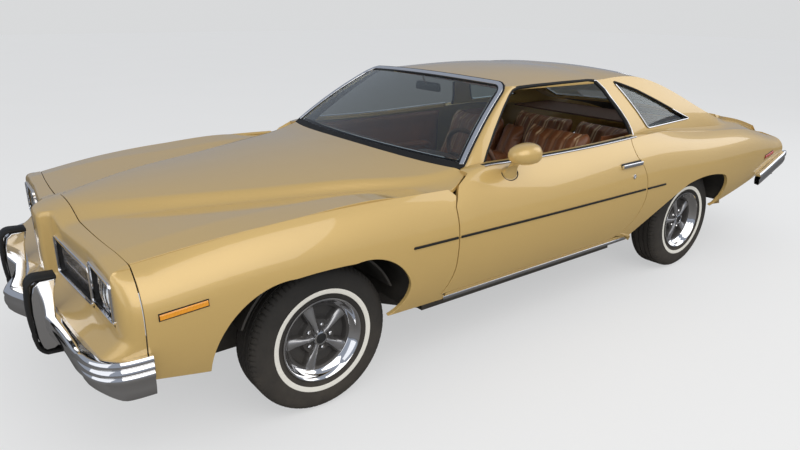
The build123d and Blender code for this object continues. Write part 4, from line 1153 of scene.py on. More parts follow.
def carry_section(plan, first, second, share, lift=0.0):
    """Section points (out, height) set square to a line seen from above, and lifted. The
    section changes from the first to the second by the given share at each point."""
    step = np.gradient(plan, axis=0)
    step /= np.linalg.norm(step, axis=1, keepdims=True)
    out = np.stack([step[:, 1], -step[:, 0]], 1)
    section = first + (second - first) * share[:, None, None]
    xy = plan[:, None] + out[:, None] * section[..., :1]
    z = section[..., 1:] + np.reshape(lift, (-1, 1, 1))
    return np.concatenate([xy, z], -1)


def smooth_step(value, low, high):
    return ease((value - low) / (high - low))


def whole_plan(half, count):
    """Line across the car, seen from above, through the points of its left half."""
    smooth = smoothly(half, count)
    return np.vstack([smooth[::-1] * (1, -1), smooth[1:]])


def make_front_bumper():
    plan = whole_plan(FRONT_PLAN, 64)
    share = smooth_step(np.abs(plan[:, 1]), .70, .80)
    points = carry_section(plan, BAR_SECTION, END_SECTION, share)
    rise = smooth_step(plan[:, 0], 2.34, 2.46)[:, None] * share[:, None]
    low = np.clip(.47 - points[..., 2], 0, 1)
    points[..., 2] += low * .45 * rise
    piece("front_bumper_bar", solid(points), "body", chrome, **TRIM, replaces=["front_bumper"], bevel=.0012)


def make_guards():
    """Upright guards, each a rounded block with a band of rubber over its face."""
    inner_y, outer_y = .315, .377
    z = np.array([.386, .402, .450, .550, .620, .660, .684])
    front = np.array([2.500, 2.514, 2.524, 2.528, 2.524, 2.512, 2.486])
    back = np.array([2.475, 2.450, 2.445, 2.445, 2.440, 2.430, 2.425])
    band = outline_path([(2.425, .690), (2.488, .694), ((2.518, .684), (2.530, .650)),
                         ((2.537, .550), (2.530, .445)), ((2.520, .398), (2.498, .378)), (2.440, .374)], 8)
    rings = np.stack([np.stack([x, 0 * z + y, z], 1) for x, y in (
        (front, inner_y), (front, outer_y), (back, outer_y), (back, inner_y))], 1)
    pair("bumper_guard_*", solid(rings), "body", chrome, **TRIM,
         replaces=["bumper_guards"], bevel=.007, segments=3)
    path = np.stack([band[:, 0], np.full(len(band), (inner_y + outer_y) / 2), band[:, 1]], 1)
    away = (path - (2.45, 0, .535)) * (1, 0, 1)
    pair("guard_band_*", sweep(path, box_outline(.082, .013), up=away), "body", black_rubber,
         **SEAL, bevel=.002)


REAR_SECTION = np.array([
    (-.055, .655), (-.020, .660), (-.006, .655), (.000, .642), (.000, .612), (-.006, .602),
    (-.006, .590), (.000, .580), (.000, .545), (-.006, .522), (-.020, .510), (-.050, .512),
    (-.060, .580)])
LEG_SECTION = np.array([
    (-.036, .636), (-.008, .646), (-.002, .642), (.002, .632), (.003, .612), (-.003, .604),
    (-.003, .596), (.000, .588), (-.001, .572), (-.004, .562), (-.008, .560), (-.036, .566),
    (-.040, .600)])


def make_rear_bumper():
    """Slanting rear bumper: the bar across the tail, and legs that run down and forward along
    the lower edge of the quarter panels."""
    plan = whole_plan(REAR_PLAN, 60)[::-1]
    share = smooth_step(np.abs(plan[:, 1]), .86, .955)
    lift = np.interp(plan[:, 0], [-2.63, -2.58, -2.54, -2.17], [0, .035, .042, -.094])
    points = carry_section(plan, REAR_SECTION, LEG_SECTION, share, lift)
    piece("rear_bumper_bar", solid(points), "body", chrome, **TRIM, replaces=["rear_bumper"], bevel=.0012)


make_front_bumper()
make_guards()
make_rear_bumper()

# %% [markdown]
# A tyre is one profile turned about the axle. Its grooves run round the tread as steps of the
# profile, and every sixth step of the turn is pulled in at the shoulders, which cuts the
# cross grooves. The white band stands a hair proud of the outer sidewall.

# %% Tyres
AXLES = (("front", front_axle, front_half), ("rear", rear_axle, rear_half))


def tyre_profile():
    """Half of the tyre's section from the bead to the middle, as (radius, out), mirrored."""
    side = [(.1785, .072), (.184, .078), (.190, .084), (.200, .0895), (.214, .0945), (.240, .0985),
            (.262, .1010), (.285, .0998), (.302, .0950), (.314, .0880), (.3225, .0800),
            (.3295, .0720), (.3325, .0640), (.3332, .0560)]
    tread = []
    for middle in (.049, .0165):
        tread += [(.3336, middle + .0045), (.3272, middle + .0035), (.3272, middle - .0035),
                  (.3340, middle - .0045)]
    half = np.array(side + tread)
    return np.vstack([half, (half * (1, -1))[::-1]])


def make_tyres():
    profile = tyre_profile()
    turns = 480
    turn = full_turn(turns)
    radius = np.broadcast_to(profile[:, 0], (turns, len(profile))).copy()
    shoulder = (np.abs(profile[:, 1]) < .083) & (np.abs(profile[:, 1]) > .0535)
    radius[np.ix_(np.arange(0, turns, 6), shoulder)] -= .0055
    middle = np.abs(profile[:, 1]) < .012
    radius[np.ix_(np.arange(3, turns, 6), middle)] -= .0040
    band = [(.2165, .0958), (.2180, .0972), (.2370, .0998), (.2385, .0988)]
    for name, x, half in AXLES:
        grid = np.stack([x + radius * np.cos(turn)[:, None],
                         np.broadcast_to(half + profile[:, 1], radius.shape),
                         hub_z + radius * np.sin(turn)[:, None]], -1)
        pair(f"tyre_{name}_*_dressed", [sheet(grid, True)], f"wheel_{name}_*", tyre_rubber,
             slot="tyre_rubber", replaces=[f"tyre_{name}_*"], sharp=35, fix=True)
        pair(f"white_band_{name}_*", [lathe(band, (x, half, hub_z))], f"wheel_{name}_*",
             white_rubber, toward=(0, 1, 0))


# %% [markdown]
# The wheel's face is a height field over rings and angles. Five tapered spokes stand up from
# a dark disc, and a rounded pocket is pressed in between each pair. Its deep trim ring, the
# cap and the lug nuts are bright.

# %% Wheels
def wheel_face():
    """Grid of the wheel's face about the origin, as (radius, angle, out), with the share of
    spoke at each point. Out is the disc, lifted along each spoke and pressed in by pockets."""
    radius = np.concatenate([np.linspace(.028, .070, 10), np.linspace(.073, .156, 26)])[:, None]
    turn = np.linspace(0, 2 * math.pi, 300, endpoint=False)[None]
    within = (turn + math.pi / 5) % (2 * math.pi / 5) - math.pi / 5
    across = radius * np.abs(np.sin(within))
    wide = np.interp(radius, [.03, .06, .150], [.010, .0105, .0235])
    spoke = ease((wide - across) / .0055 + .5) * ease((.156 - radius) / .006)
    ridge = np.interp(radius, [.03, .050, .090, .150], [.060, .062, .059, .0505])
    crown = ridge - .006 * (across / wide) ** 2
    pocket = ease((radius - .080) / .008) * ease((.146 - radius) / .007)
    pocket = pocket * ease((across - wide - .006) / .007)
    wells = ease(1 - np.hypot(radius - .058, radius * (math.pi / 5 - np.abs(within))) / .016)
    disc = np.interp(radius, [.03, .075, .148, .156], [.046, .044, .046, .052]) - .006 * wells
    out = disc + np.maximum(crown - disc, 0) * spoke - .026 * pocket
    return radius, turn, out, spoke


def make_wheels():
    radius, turn, out, spoke = wheel_face()
    flat = points_of(radius * np.cos(turn), out, radius * np.sin(turn))
    ring = [(.1935, .0800), (.1945, .0880), (.1925, .0925), (.1880, .0935), (.1835, .0900),
            (.1760, .0760), (.1650, .0600), (.1575, .0540), (.1555, .0500)]
    barrel = [(.1560, .0490), (.1500, .0300), (.1500, -.0450), (.1760, -.0650), (.1860, -.0840)]
    cap = [(.0340, .0480), (.0340, .0640), (.0315, .0700), (.0250, .0720), (.0240, .0700)]
    badge = [(.0240, .0700), (.0120, .0722), (.0005, .0728)]
    nut = [(.0095, .0380), (.0095, .0530), (.0060, .0570), (.0005, .0575)]
    share = (spoke[:-1] + spoke[1:]) / 2
    marks = ((share + np.roll(share, -1, 1)) / 2 > .42).astype(np.int32).ravel()
    outward = (0, 1, 0)
    for name, x, half in AXLES:
        centre, body = np.array([x, half, hub_z]), f"wheel_{name}_*"
        faces = pair(f"wheel_face_{name}_*", [sheet(flat + centre, False, True)], body,
                     wheel_dark, slot="wheel_steel", replaces=[body], inner=wheel_silver,
                     toward=outward)
        for face in faces:
            face.data.polygons.foreach_set("material_index", marks)
        pair(f"wheel_barrel_{name}_*", [lathe(barrel, centre)], body, wheel_dark, thick=.003)
        pair(f"trim_ring_{name}_*", [lathe(ring, centre)], body, chrome, slot="chrome_trim",
             toward=outward)
        bright = [lathe(cap, centre, 48)]
        for angle in np.radians(36 + 72 * np.arange(5)):
            at = centre + (.058 * math.cos(angle), 0, .058 * math.sin(angle))
            bright.append(lathe(nut, at, 6))
        pair(f"wheel_cap_{name}_*", bright, body, chrome, slot="chrome_trim", sharp=25, toward=outward)
        pair(f"cap_centre_{name}_*", [lathe(badge, centre, 48)], body, dark_plastic, toward=outward)


make_tyres()
make_wheels()

# %% [markdown]
# The windscreen is one bent sheet between a curve at the cowl and a curve at the roof. Its
# bright surround, the body-coloured pillars and the black seals of the open door windows
# follow the same curves.

# %% Windscreen and pillars
def screen_point(u, v, out=0.0):
    """Point of the windscreen: u across from -1 to 1, v up from 0 to 1, and out along the
    way that it faces. It bulges a little between top and base."""
    low = np.stack([.792 - .100 * u**2, .804 * u, .985 - .010 * u**2], -1)
    high = np.stack([.270 - .060 * u**2, .602 * u, 1.334 - .020 * u**2], -1)
    v = np.asarray(v)[..., None]
    bulge = 4 * v * (1 - v) * .018
    return low + (high - low) * v + np.array([.55, 0, .83]) * (bulge + out)


def make_windscreen():
    """Bent glass, its bright surround on three sides, and the black seal under it all round."""
    u, v = np.meshgrid(np.linspace(-1, 1, 41), np.linspace(0, 1, 15))
    piece("windscreen_glass", [sheet(screen_point(u, v))], "body", tinted_glass, slot="tinted_glass",
          replaces=["windscreen"], thick=.005, toward=(1, 0, 1))
    t = np.linspace(0, math.pi / 2, 8)
    ru, rv = .085, .14
    top_right = np.stack([1.0 - ru + ru * np.cos(t), 1.0 - rv + rv * np.sin(t)], 1)
    top_left = np.stack([-1.0 + ru - ru * np.sin(t), 1.0 - rv + rv * np.cos(t)], 1)
    low = np.stack([np.linspace(-1, 1, 30), np.zeros(30)], 1)
    top = np.stack([np.linspace(1 - ru, -1 + ru, 30), np.ones(30)], 1)
    loop = evenly(np.vstack([low, top_right, top[1:-1], top_left]), 220, closed=True)
    path = screen_point(loop[:, 0], loop[:, 1], .004)
    normal = np.broadcast_to(np.array([.55, 0, .83]), path.shape)
    order = run_of(loop[:, 1] > .004)
    piece("windscreen_surround", sweep(path[order], box_outline(.026, .010), up=normal[order]), "body",
          chrome, **TRIM, bevel=.002)
    piece("windscreen_seal", sweep(path - normal * .004, box_outline(.044, .007), up=normal, closed=True),
          "body", black_rubber, fix=True)


def window_path():
    """Edge of the open door window from the belt in front, up the pillar, along the roof's
    rail and down the curve behind."""
    ahead = np.array([(.575, .832, .960), (.520, .800, 1.018), (.420, .745, 1.108), (.300, .683, 1.206),
                      (.215, .643, 1.268), (.180, .630, 1.288), (.130, .622, 1.297)])
    rail = np.array([(.0, .620, 1.3), (-.250, .622, 1.302), (-.470, .624, 1.302), (-.525, .630, 1.298)])
    x, z = DOOR_WINDOW_REAR[1:].T
    behind = upper(x, upper_share(x, z), 1)
    return np.vstack([ahead, rail, behind, [(-.686, .818, .978)]])


def make_pillars():
    """Body-coloured windscreen pillars, and the black seals round the door windows."""
    v = np.linspace(-.03, .985, 24)
    front = screen_point(np.full(24, 1.0), v, -.004)
    rear = smoothly(window_path()[:7], 24)
    t = np.linspace(0, 1, 6)[:, None, None]
    grid = blend(front, rear, t) + np.array([.1, .5, .3]) * (.012 * 4 * t * (1 - t))
    dress("pillar_skin_*", [sheet(grid)], "body", thick=.022, inner=headliner, toward=(.3, 1, .4))
    path = evenly(window_path(), 90)
    inward = path - (path - (-.05, .72, 1.13)) * .012 + (0, -.008, 0)
    pair("window_seal_*", sweep(inward, box_outline(.018, .018), up=(0, .85, .5)), "body",
         black_rubber, **SEAL, bevel=.003)
    strip = path[np.argmax(path[:, 0] < -.50):] + (-.004, .004, 0)
    pair("window_bright_*", sweep(strip, box_outline(.007, .006), up=(0, 1, .4)), "body",
         stainless, slot="chrome_trim", fix=True)


def make_belt_trim():
    """Bright strip and black seal along the top of each door."""
    x = np.linspace(.600, -.655, 50)
    knots = along(REAR_ROWS, x)
    belt = np.stack([x, knots[:, 4] - .006, knots[:, 5] + .003], 1)
    pair("belt_bright_*", sweep(belt, box_outline(.016, .009)), "door_*", stainless, **TRIM, bevel=.001)
    pair("belt_seal_*", sweep(belt + [0, -.020, -.004], box_outline(.026, .014)), "door_*",
         black_rubber, **SEAL, bevel=.003)


def make_cowl():
    """Black vent strip under the hood's rear edge, at the foot of the windscreen."""
    w = np.linspace(-1, 1, 41)[None]
    t = np.linspace(0, 1, 4)[:, None]
    ahead, behind = .862 - .122 * w**2, .770 - .095 * w**2
    x = ahead + (behind - ahead) * t
    y = w * (.800 + .012 * t)
    z = .958 - .020 * w**2 + .016 * t
    piece("cowl_vent", [sheet(points_of(x, y, z))], "body", black_paint,
          thick=.004, toward=(0, 0, 1))


# %% [markdown]
# The three-sided quarter window has a curved upper edge with a black seal, and a thin bright
# strip on its other two sides. The rear window lies on the sloping back.

# %% Rear glass
def side_point(flat, out=0.0):
    """Points (along, up) laid on the side of the cabin."""
    return upper(flat[:, 0], upper_share(flat[:, 0], flat[:, 1]), 1) + np.array([0, out, .3 * out])


def make_quarter_glass():
    loop = evenly(rounded(QUARTER_WINDOW, .022), 120, closed=True)
    middle = loop.mean(0)
    t = np.linspace(.02, 1.01, 9)[:, None, None]
    flat = (middle + (loop - middle) * t).reshape(-1, 2)
    grid = side_point(flat, -.010).reshape(9, 120, 3)
    edge = side_point(loop, -.003)
    under = loop[:, 1] < np.interp(loop[:, 0], [-1.372, -.681], [1.025, 1.280])
    order = run_of(under & (loop[:, 0] > -1.375))
    pair("quarter_glass_*", [sheet(grid, False, True), fan(grid[0])], "body", tinted_glass,
         slot="tinted_glass", replaces=["quarter_windows"], thick=.004, toward=(0, 1, .3))
    seal = sweep(edge + [0, .0005, 0], box_outline(.013, .012), up=(0, .85, .5), closed=True)
    pair("quarter_seal_*", seal, "body", black_rubber, **SEAL, bevel=.002)
    bright = sweep(edge[order] + [0, .0075, .001], box_outline(.008, .005), up=(0, .85, .5))
    pair("quarter_bright_*", bright, "body", stainless, slot="chrome_trim", fix=True)


def make_rear_glass():
    x, t = np.meshgrid(np.linspace(BACK_TOP, BACK_LOW, 24), np.linspace(-1, 1, 31), indexing="ij")
    edge_y = along(UPPER_ROWS, x)[..., 4]
    glass = upper(x, 1 - np.abs(t) * back_window_y(x) / edge_y, 2)
    glass[..., 1] *= np.sign(t)
    piece("rear_glass", [sheet(glass + (0, 0, -.008))], "body", tinted_glass, slot="tinted_glass",
          replaces=["rear_window"], thick=.005, toward=(-.5, 0, 1))
    loop = np.vstack([glass[0], glass[1:, -1], glass[-1, -2::-1], glass[-2:0:-1, 0]])
    loop = evenly(loop, 200, closed=True)
    piece("rear_glass_bright", sweep(loop + (0, 0, .001), box_outline(.018, .007),
                                     up=(-.45, 0, .9), closed=True),
          "body", chrome, **TRIM, bevel=.0015)
    piece("rear_glass_seal", sweep(loop + (0, 0, -.006), box_outline(.034, .008),
                                   up=(-.45, 0, .9), closed=True), "body", black_rubber, fix=True)


make_windscreen()
make_pillars()
make_belt_trim()
make_cowl()
make_quarter_glass()
make_rear_glass()

# %% [markdown]
# Each seat cushion starts as a rounded slab drawn from its side, and is swelled by a short
# cloth simulation, which gives it its crown and soft corners. After that the sewn channels
# are pressed in, and a light thread colour is kept beside them as a point value.

# %% Padded seats
def slab(outline, y0, y1, ends=0.035):
    """Side outline (along, up) carried across from y0 to y1, smaller at both ends."""
    loop = evenly(rounded(outline, .040), 72, closed=True)
    middle = loop.mean(0)
    t = np.linspace(0, 1, 27)
    depth = np.minimum(t, 1 - t) * abs(y1 - y0)
    pull = np.clip(1 - depth / ends, 0, 1)
    size = 1 - .16 * (1 - np.sqrt(1 - np.minimum(pull, .999) ** 2))
    ring = middle + (loop - middle)[None] * size[:, None, None]
    y = np.broadcast_to((y0 + (y1 - y0) * t)[:, None], ring.shape[:2])
    return solid(np.stack([ring[..., 0], y, ring[..., 1]], -1))


def all_points(mesh):
    points = np.zeros(len(mesh.vertices) * 3)
    mesh.vertices.foreach_get("co", points)
    return points.reshape(-1, 3)


def swell(thing, pressure=4.0, voxel=0.011, most=0.022):
    """Remeshes the piece evenly, swells it as cloth under pressure, and limits how far any
    point has moved; the result replaces the piece's mesh."""
    remesh = thing.modifiers.new("even", "REMESH")
    remesh.mode, remesh.voxel_size, remesh.use_smooth_shade = "VOXEL", voxel, True
    graph = bpy.context.evaluated_depsgraph_get()
    mesh = bpy.data.meshes.new_from_object(thing.evaluated_get(graph))
    thing.modifiers.clear()
    thing.data = mesh
    before = all_points(mesh)
    cloth = thing.modifiers.new("swell", "CLOTH")
    cloth.settings.use_pressure = True
    cloth.settings.uniform_pressure_force = pressure
    cloth.settings.effector_weights.gravity = 0
    cloth.settings.quality = 4
    scene = bpy.context.scene
    for step in range(1, 21):
        scene.frame_set(step)
    graph = bpy.context.evaluated_depsgraph_get()
    after = all_points(bpy.data.meshes.new_from_object(thing.evaluated_get(graph)))
    thing.modifiers.clear()
    move = after - before
    far = np.linalg.norm(move, axis=1, keepdims=True)
    move *= np.minimum(1, most / np.maximum(far, 1e-9))
    mesh.vertices.foreach_set("co", (before + move).ravel())
    scene.frame_set(1)
    mesh.update()


def press_channels(thing, up, y0, y1, count, depth=0.006):
    """Presses sewn channels into the faces that look along up. Each channel is a narrow
    groove across the seat's width, and the stuffing between two of them is crowned."""
    mesh = thing.data
    points, normals = all_points(mesh), np.zeros(len(mesh.vertices) * 3)
    mesh.vertices.foreach_get("normal", normals)
    normals = normals.reshape(-1, 3)
    facing = np.clip((normals @ np.asarray(up, float) - .25) / .4, 0, 1)
    pitch = abs(y1 - y0) / count
    share = ((points[:, 1] - min(y0, y1)) / pitch) % 1
    off = np.minimum(share, 1 - share) * pitch
    inside = (points[:, 1] > min(y0, y1) + pitch * .4) & (points[:, 1] < max(y0, y1) - pitch * .4)
    groove = np.exp(-(off / .0085) ** 2) * facing * inside
    crown = np.sin(math.pi * share) * .35 * facing * inside
    points += normals * (crown - groove)[:, None] * depth
    mesh.vertices.foreach_set("co", points.ravel())
    thread = np.exp(-((off - .011) / .0035) ** 2) * (facing > .3) * inside
    mark = mesh.attributes.new("thread", "FLOAT", "POINT")
    mark.data.foreach_set("value", thread.astype(np.float32))
    mesh.update()


def make_pad(name, outline, y0, y1, nodes, count, up):
    thing = piece(name, slab(outline, y0, y1), "body", saddle_vinyl, slot="saddle_vinyl",
                  replaces=nodes, sharp=180, fix=True)
    swell(thing)
    press_channels(thing, up, y0, y1, count)
    thing.data.shade_smooth()
    thing.data.materials.clear()
    thing.data.materials.append(saddle_vinyl)
    smooth = thing.modifiers.new("smooth", "SUBSURF")
    smooth.levels = smooth.render_levels = 1
    return thing


FRONT_BASE = [(-.315, .425), (-.335, .525), (-.100, .580), (.135, .568), (.165, .530),
              (.142, .450), (.100, .420)]
FRONT_BACK = [(-.372, .625), (-.522, .955), (-.560, .985), (-.588, .962), (-.492, .575),
              (-.430, .535), (-.385, .545)]
REAR_BASE = [(-.955, .425), (-.950, .545), (-.800, .572), (-.660, .560), (-.625, .530),
             (-.640, .430)]
REAR_BACK = [(-1.010, .600), (-1.190, .925), (-1.245, .930), (-1.100, .610), (-1.070, .590)]
ARM_OUTLINE = [(-.395, .690), (-.420, .755), (-.380, .785), (-.100, .775), (-.065, .740),
               (-.085, .700), (-.130, .690)]
BACK_FILL = [(-.385, .560), (-.395, .690), (-.522, .940), (-.570, .955), (-.492, .585), (-.440, .545)]
CENTRE_BASE = [(x, z - .004) for x, z in FRONT_BASE]
BASE_UP, BACK_UP, FLAT_UP = (.2, 0, 1), (1, 0, .5), (0, 0, 1)
# name, side outline, nodes that it replaces, way its sewn face looks, outer and inner y, channels
SIDE_PADS = (
    ("front_base", FRONT_BASE, ["front_seat"], BASE_UP, .632, .105, 7),
    ("front_back", FRONT_BACK, (), BACK_UP, .632, .105, 7),
    ("rear_base", REAR_BASE, ["rear_seat"], BASE_UP, .585, .012, 8),
    ("rear_back", REAR_BACK, (), (1, 0, .55), .585, .012, 8))
pads = []
for label, outline, nodes, up, outer_y, inner_y, count in SIDE_PADS:
    for side, hand in SIDES:
        pads.append(make_pad(f"{label}_pad_{hand}", outline, side * outer_y, side * inner_y,
                             nodes if side > 0 else (), count, up))
for name, outline, half, up in (("centre_armrest", ARM_OUTLINE, .090, FLAT_UP),
                                ("centre_back", BACK_FILL, .088, BACK_UP),
                                ("centre_base", CENTRE_BASE, .098, FLAT_UP)):
    pads.append(make_pad(name, outline, half, -half, (), 2, up))
print("pads:", [(pad.name, len(pad.data.polygons)) for pad in pads])

# %% [markdown]
# The rest of the cabin is seen through the open window and the glass: the dash with its
# cowl and dials, the door linings, the carpet, and the mirror at the head of the screen.

# %% Cabin trim
def make_dash_trim():
    """Hood over the dials, the dark dial panel and three round dials in it."""
    t = np.linspace(0, math.pi, 15)
    outline = np.stack([.372 - .235 * np.cos(t), .884 + .052 * np.sin(t) ** .6], 1)
    xs = np.linspace(.610, .425, 6)
    grid = np.stack([np.stack([np.full(15, x), outline[:, 0], outline[:, 1]], 1) for x in xs])
    piece("dial_cowl", [sheet(grid)], "body", brown_plastic, thick=.010, bevel=.003, toward=(0, 0, 1))
    flat = np.stack([np.full(15, .452), outline[:, 0], np.maximum(outline[:, 1] - .006, .870)], 1)
    base = flat.copy()
    base[:, 2] = .790
    piece("dial_panel", [sheet(np.stack([base, flat]))], "body", dark_plastic, thick=.004, toward=(-1, 0, 0))
    rims, turn = [], full_turn(40)
    for y in (.250, .372, .494):
        ring = np.stack([np.full(40, .448), y + .046 * np.cos(turn), .852 + .046 * np.sin(turn)], 1)
        rims += sweep(ring, round_outline(.003, 8), up=(1, 0, 0), closed=True)
    piece("dial_rims", rims, "body", chrome, fix=True)
    strip = np.array([(.462, y, .842) for y in np.linspace(-.70, .10, 12)])
    piece("dash_strip", sweep(strip, box_outline(.004, .014)), "body", stainless, fix=True)
    vents = [box_part((.472, .480), (y - .055, y + .055), (z - .003, z + .003))
             for y in (-.640, -.110, .640) for z in (.800, .788, .776, .764)]
    piece("dash_vents", vents, "body", dark_plastic, fix=True)


def make_door_linings():
    """Padded lining inside each door: a lower panel, a rounded armrest and a top roll. Beside
    the rear seat there is a plain upright lining."""
    x, t = np.meshgrid(np.linspace(.700, -.560, 40), np.linspace(0, 1, 16))
    z = .440 + .500 * t
    bulge = .010 * np.sin(math.pi * t) + .018 * np.exp(-((z - .920) / .030) ** 2)
    y = .862 - bulge - .030 * t
    for panel in pair("door_lining_*", [sheet(np.stack([x, y, z], -1))], "door_*",
                      saddle_vinyl, thick=-.008, toward=(0, -1, 0)):
        panel.modifiers["wall"].offset = 1
    path = np.array([(.420, .836, .655), (.300, .820, .690), (.100, .812, .700), (-.200, .812, .700),
                     (-.420, .818, .695), (-.470, .838, .670)])
    path = np.stack([np.interp(np.linspace(0, 5, 24), np.arange(6), c) for c in path.T], 1)
    pair("door_armrest_*", sweep(path, round_outline(.030, 16) * (1, .8)), "door_*",
         saddle_vinyl, fix=True, sharp=80)
    crank = [box_part((.285, .300), (.800, .812), (.560, .650)),
             box_part((.278, .307), (.778, .806), (.636, .664))]
    pair("window_crank_*", crank, "door_*", chrome, bevel=.004, segments=3, fix=True)
    x, z = np.meshgrid(np.linspace(-.62, -1.08, 12), np.linspace(.60, .955, 8))
    pair("rear_side_lining_*", [sheet(np.stack([x, 0 * x + .640, z], -1))], "body",
         saddle_vinyl, thick=.010, bevel=.004, toward=(0, -1, 0))


def make_carpet():
    """Carpet over the floor and the tunnel, from the toe board to the rear seat."""
    x, y = np.meshgrid(np.linspace(.800, -.640, 50), np.linspace(-.690, .690, 60), indexing="ij")
    wide = np.interp(x, [.45, .56], [.185, .238])
    tall = np.interp(x, [.45, .56], [.400, .575])
    hump = ease((wide + .012 - np.abs(y)) / .05)
    z = .316 + (tall - .316 + .004) * hump + ease((x - .64) / .16) * .16 * (1 - hump)
    piece("carpet", [sheet(np.stack([x, y, z], -1))], "body", carpet, toward=(0, 0, 1))


def make_inner_mirror():
    loop = rounded([(-.115, 1.225), (.115, 1.225), (.105, 1.275), (-.105, 1.275)], .020)
    rings = [np.stack([np.full(len(loop), x), loop[:, 0] * k, 1.25 + (loop[:, 1] - 1.25) * k], 1)
             for x, k in ((.232, .96), (.236, 1.0), (.246, 1.0), (.256, .80))]
    piece("inner_mirror", [sheet(np.stack(rings), False, True), fan(rings[-1])], "body", dark_plastic,
          fix=True, bevel=.001)
    piece("inner_mirror_face", [fan(rings[0])], "body", chrome, toward=(-1, 0, 0))
    stem = np.array([(.252, 0, 1.262), (.272, 0, 1.290), (.285, 0, 1.318)])
    piece("inner_mirror_stem", sweep(stem, round_outline(.006)), "body", chrome, fix=True)


make_dash_trim()
make_door_linings()
make_carpet()
make_inner_mirror()

# %% [markdown]
# Small things on the skin: side markers, the rub strip, door handles and locks, the driver's
# mirror, the rocker's moulding, the tail panel with its lamps, and dark liners that close
# the wheel arches from inside.

# %% Markers, strips, handles and mirror
def on_flank(x, z, out):
    """Points just outside the body's side at the places x and heights z."""
    rows = FRONT_ROWS if np.mean(x) > .86 else REAR_ROWS
    return points_of(x, flank(x, z, rows) + out, z)


def make_markers():
    """Side marker lamps in dark rims, each a low dome with slanting sides."""
    share = np.linspace(0, 1, 14)
    for name, ends, heights, tall, lens in (
            ("front", (2.205, 2.035), (.673, .689), .021, amber_lens),
            ("rear", (tail_x + .326, tail_x + .191), (.674, .696), .024, red_lens)):
        x, z = np.interp(share, [0, 1], ends), np.interp(share, [0, 1], heights)
        grid = np.stack([on_flank(x, z + tall * k, out) for k, out in (
            (-.5, -.004), (-.5, .003), (-.35, .006), (.35, .006), (.5, .003), (.5, -.004))])
        x = np.interp(share, [0, 1], [ends[0] + .004, ends[1] - .004])
        rim = np.stack([on_flank(x, z + (tall + .008) * k, out) for k, out in (
            (-.5, -.003), (-.5, .0015), (.5, .0015), (.5, -.003))])
        pair(f"{name}_marker_*", [sheet(grid), fan(grid[:, 0]), fan(grid[:, -1])], "body", lens,
             sharp=35, fix=True)
        pair(f"{name}_marker_rim_*", [sheet(rim)], "body", black_rubber, toward=(0, 1, 0))


def make_rub_strips():
    """Black strip along fender, door and quarter, cut at the door's seams."""
    for name, start, end, body in (("fender", 1.115, .858, "body"), ("door", .840, -.644, "door_*"),
                                   ("quarter", -.668, -.861, "body")):
        x = np.linspace(start, end, 30)
        path = on_flank(x, np.interp(x, [-.861, 1.115], [.686, .702]), .002)
        pair(f"rub_strip_{name}_*", sweep(path, box_outline(.009, .011)), body, black_rubber,
             **SEAL, bevel=.002)


def make_handles():
    """Bright pull bar on a dark recess plate, and the round lock under it."""
    x = np.linspace(-.412, -.602, 16)
    z = np.full(16, .8505)
    path = on_flank(x, z, .014)
    ends = [box_part((a - .006, a + .006), (path[0, 1] - .026, path[0, 1]), (.842, .859))
            for a in (-.420, -.594)]
    pair("door_handle_*", [*sweep(path, box_outline(.012, .024)), *ends], "door_*", chrome,
         **TRIM, replaces=["door_fittings_*"], bevel=.004, segments=3)
    pair("handle_plate_*", sweep(on_flank(x, z, .0010), box_outline(.003, .034)), "door_*",
         dark_plastic, sharp=50, fix=True)
    y = float(flank(-.522, .781, REAR_ROWS))
    profile = [(.0140, -.002), (.0140, .004), (.0115, .006), (.0075, .006), (.0070, .003), (.0005, .003)]
    pair("door_lock_*", [lathe(profile, (-.522, y, .781), 32)], "door_*", chrome,
         slot="chrome_trim", sharp=40, toward=(0, 1, 0))


def make_door_mirror():
    """Rounded mirror head on a flared foot, on the driver's door only."""
    sections = [(.392, .052, .040), (.396, .062, .048), (.413, .066, .0515), (.445, .066, .052),
                (.482, .060, .048), (.514, .048, .039), (.536, .031, .026), (.546, .014, .012)]
    turn = full_turn(48)
    across, upward = (np.sign(v) * np.abs(v) ** .86 for v in (np.cos(turn), np.sin(turn)))
    rings = [np.stack([np.full(48, x), .988 + a * across, 1.040 + b * upward], 1)
             for x, a, b in sections]
    piece("door_mirror_head", [sheet(np.stack(rings), False, True), fan(rings[-1])], "door_left",
          tan_paint, slot="tan_paint", sharp=60, fix=True)
    middle = rings[0].mean(0)
    back = middle + (rings[0] - middle) * (1, .95, .95) + (.006, 0, 0)
    piece("door_mirror_glass", [sheet(np.stack([rings[0], back]), False, True), fan(back)], "door_left",
          chrome, toward=(-1, 0, 0))
    up = np.linspace(0, 1, 12)[:, None]
    wide, deep = .052 - .026 * up, .031 - .014 * up
    lean = 1 - smooth_step(up, 0, .8)
    foot = np.stack([.460 + .020 * up + wide * np.cos(turn),
                     .904 + .068 * up ** 1.15 + deep * np.sin(turn) * (1 - 1.65 * lean),
                     .930 + .078 * up + deep * np.sin(turn) * lean], -1)
    piece("door_mirror_foot", [sheet(foot, False, True)], "door_left", tan_paint,
          slot="tan_paint", sharp=60, fix=True)
    middle = foot[0].mean(0)
    outer_side = np.arange(22, 51) % 48
    ring = (middle + (foot[0] - middle) * 1.03 + (0, .004, .002))[outer_side]
    piece("door_mirror_gasket", sweep(ring, box_outline(.005, .005), up=(0, .8, .6)), "door_left",
          black_rubber, fix=True)


def make_rocker_trim():
    """Bright moulding along the rocker's lower edge."""
    path = on_flank(np.linspace(.880, -.596, 40), np.full(40, .374), .002)
    pair("rocker_bright_*", sweep(path, box_outline(.008, .020)), "body", stainless, **TRIM, bevel=.002)


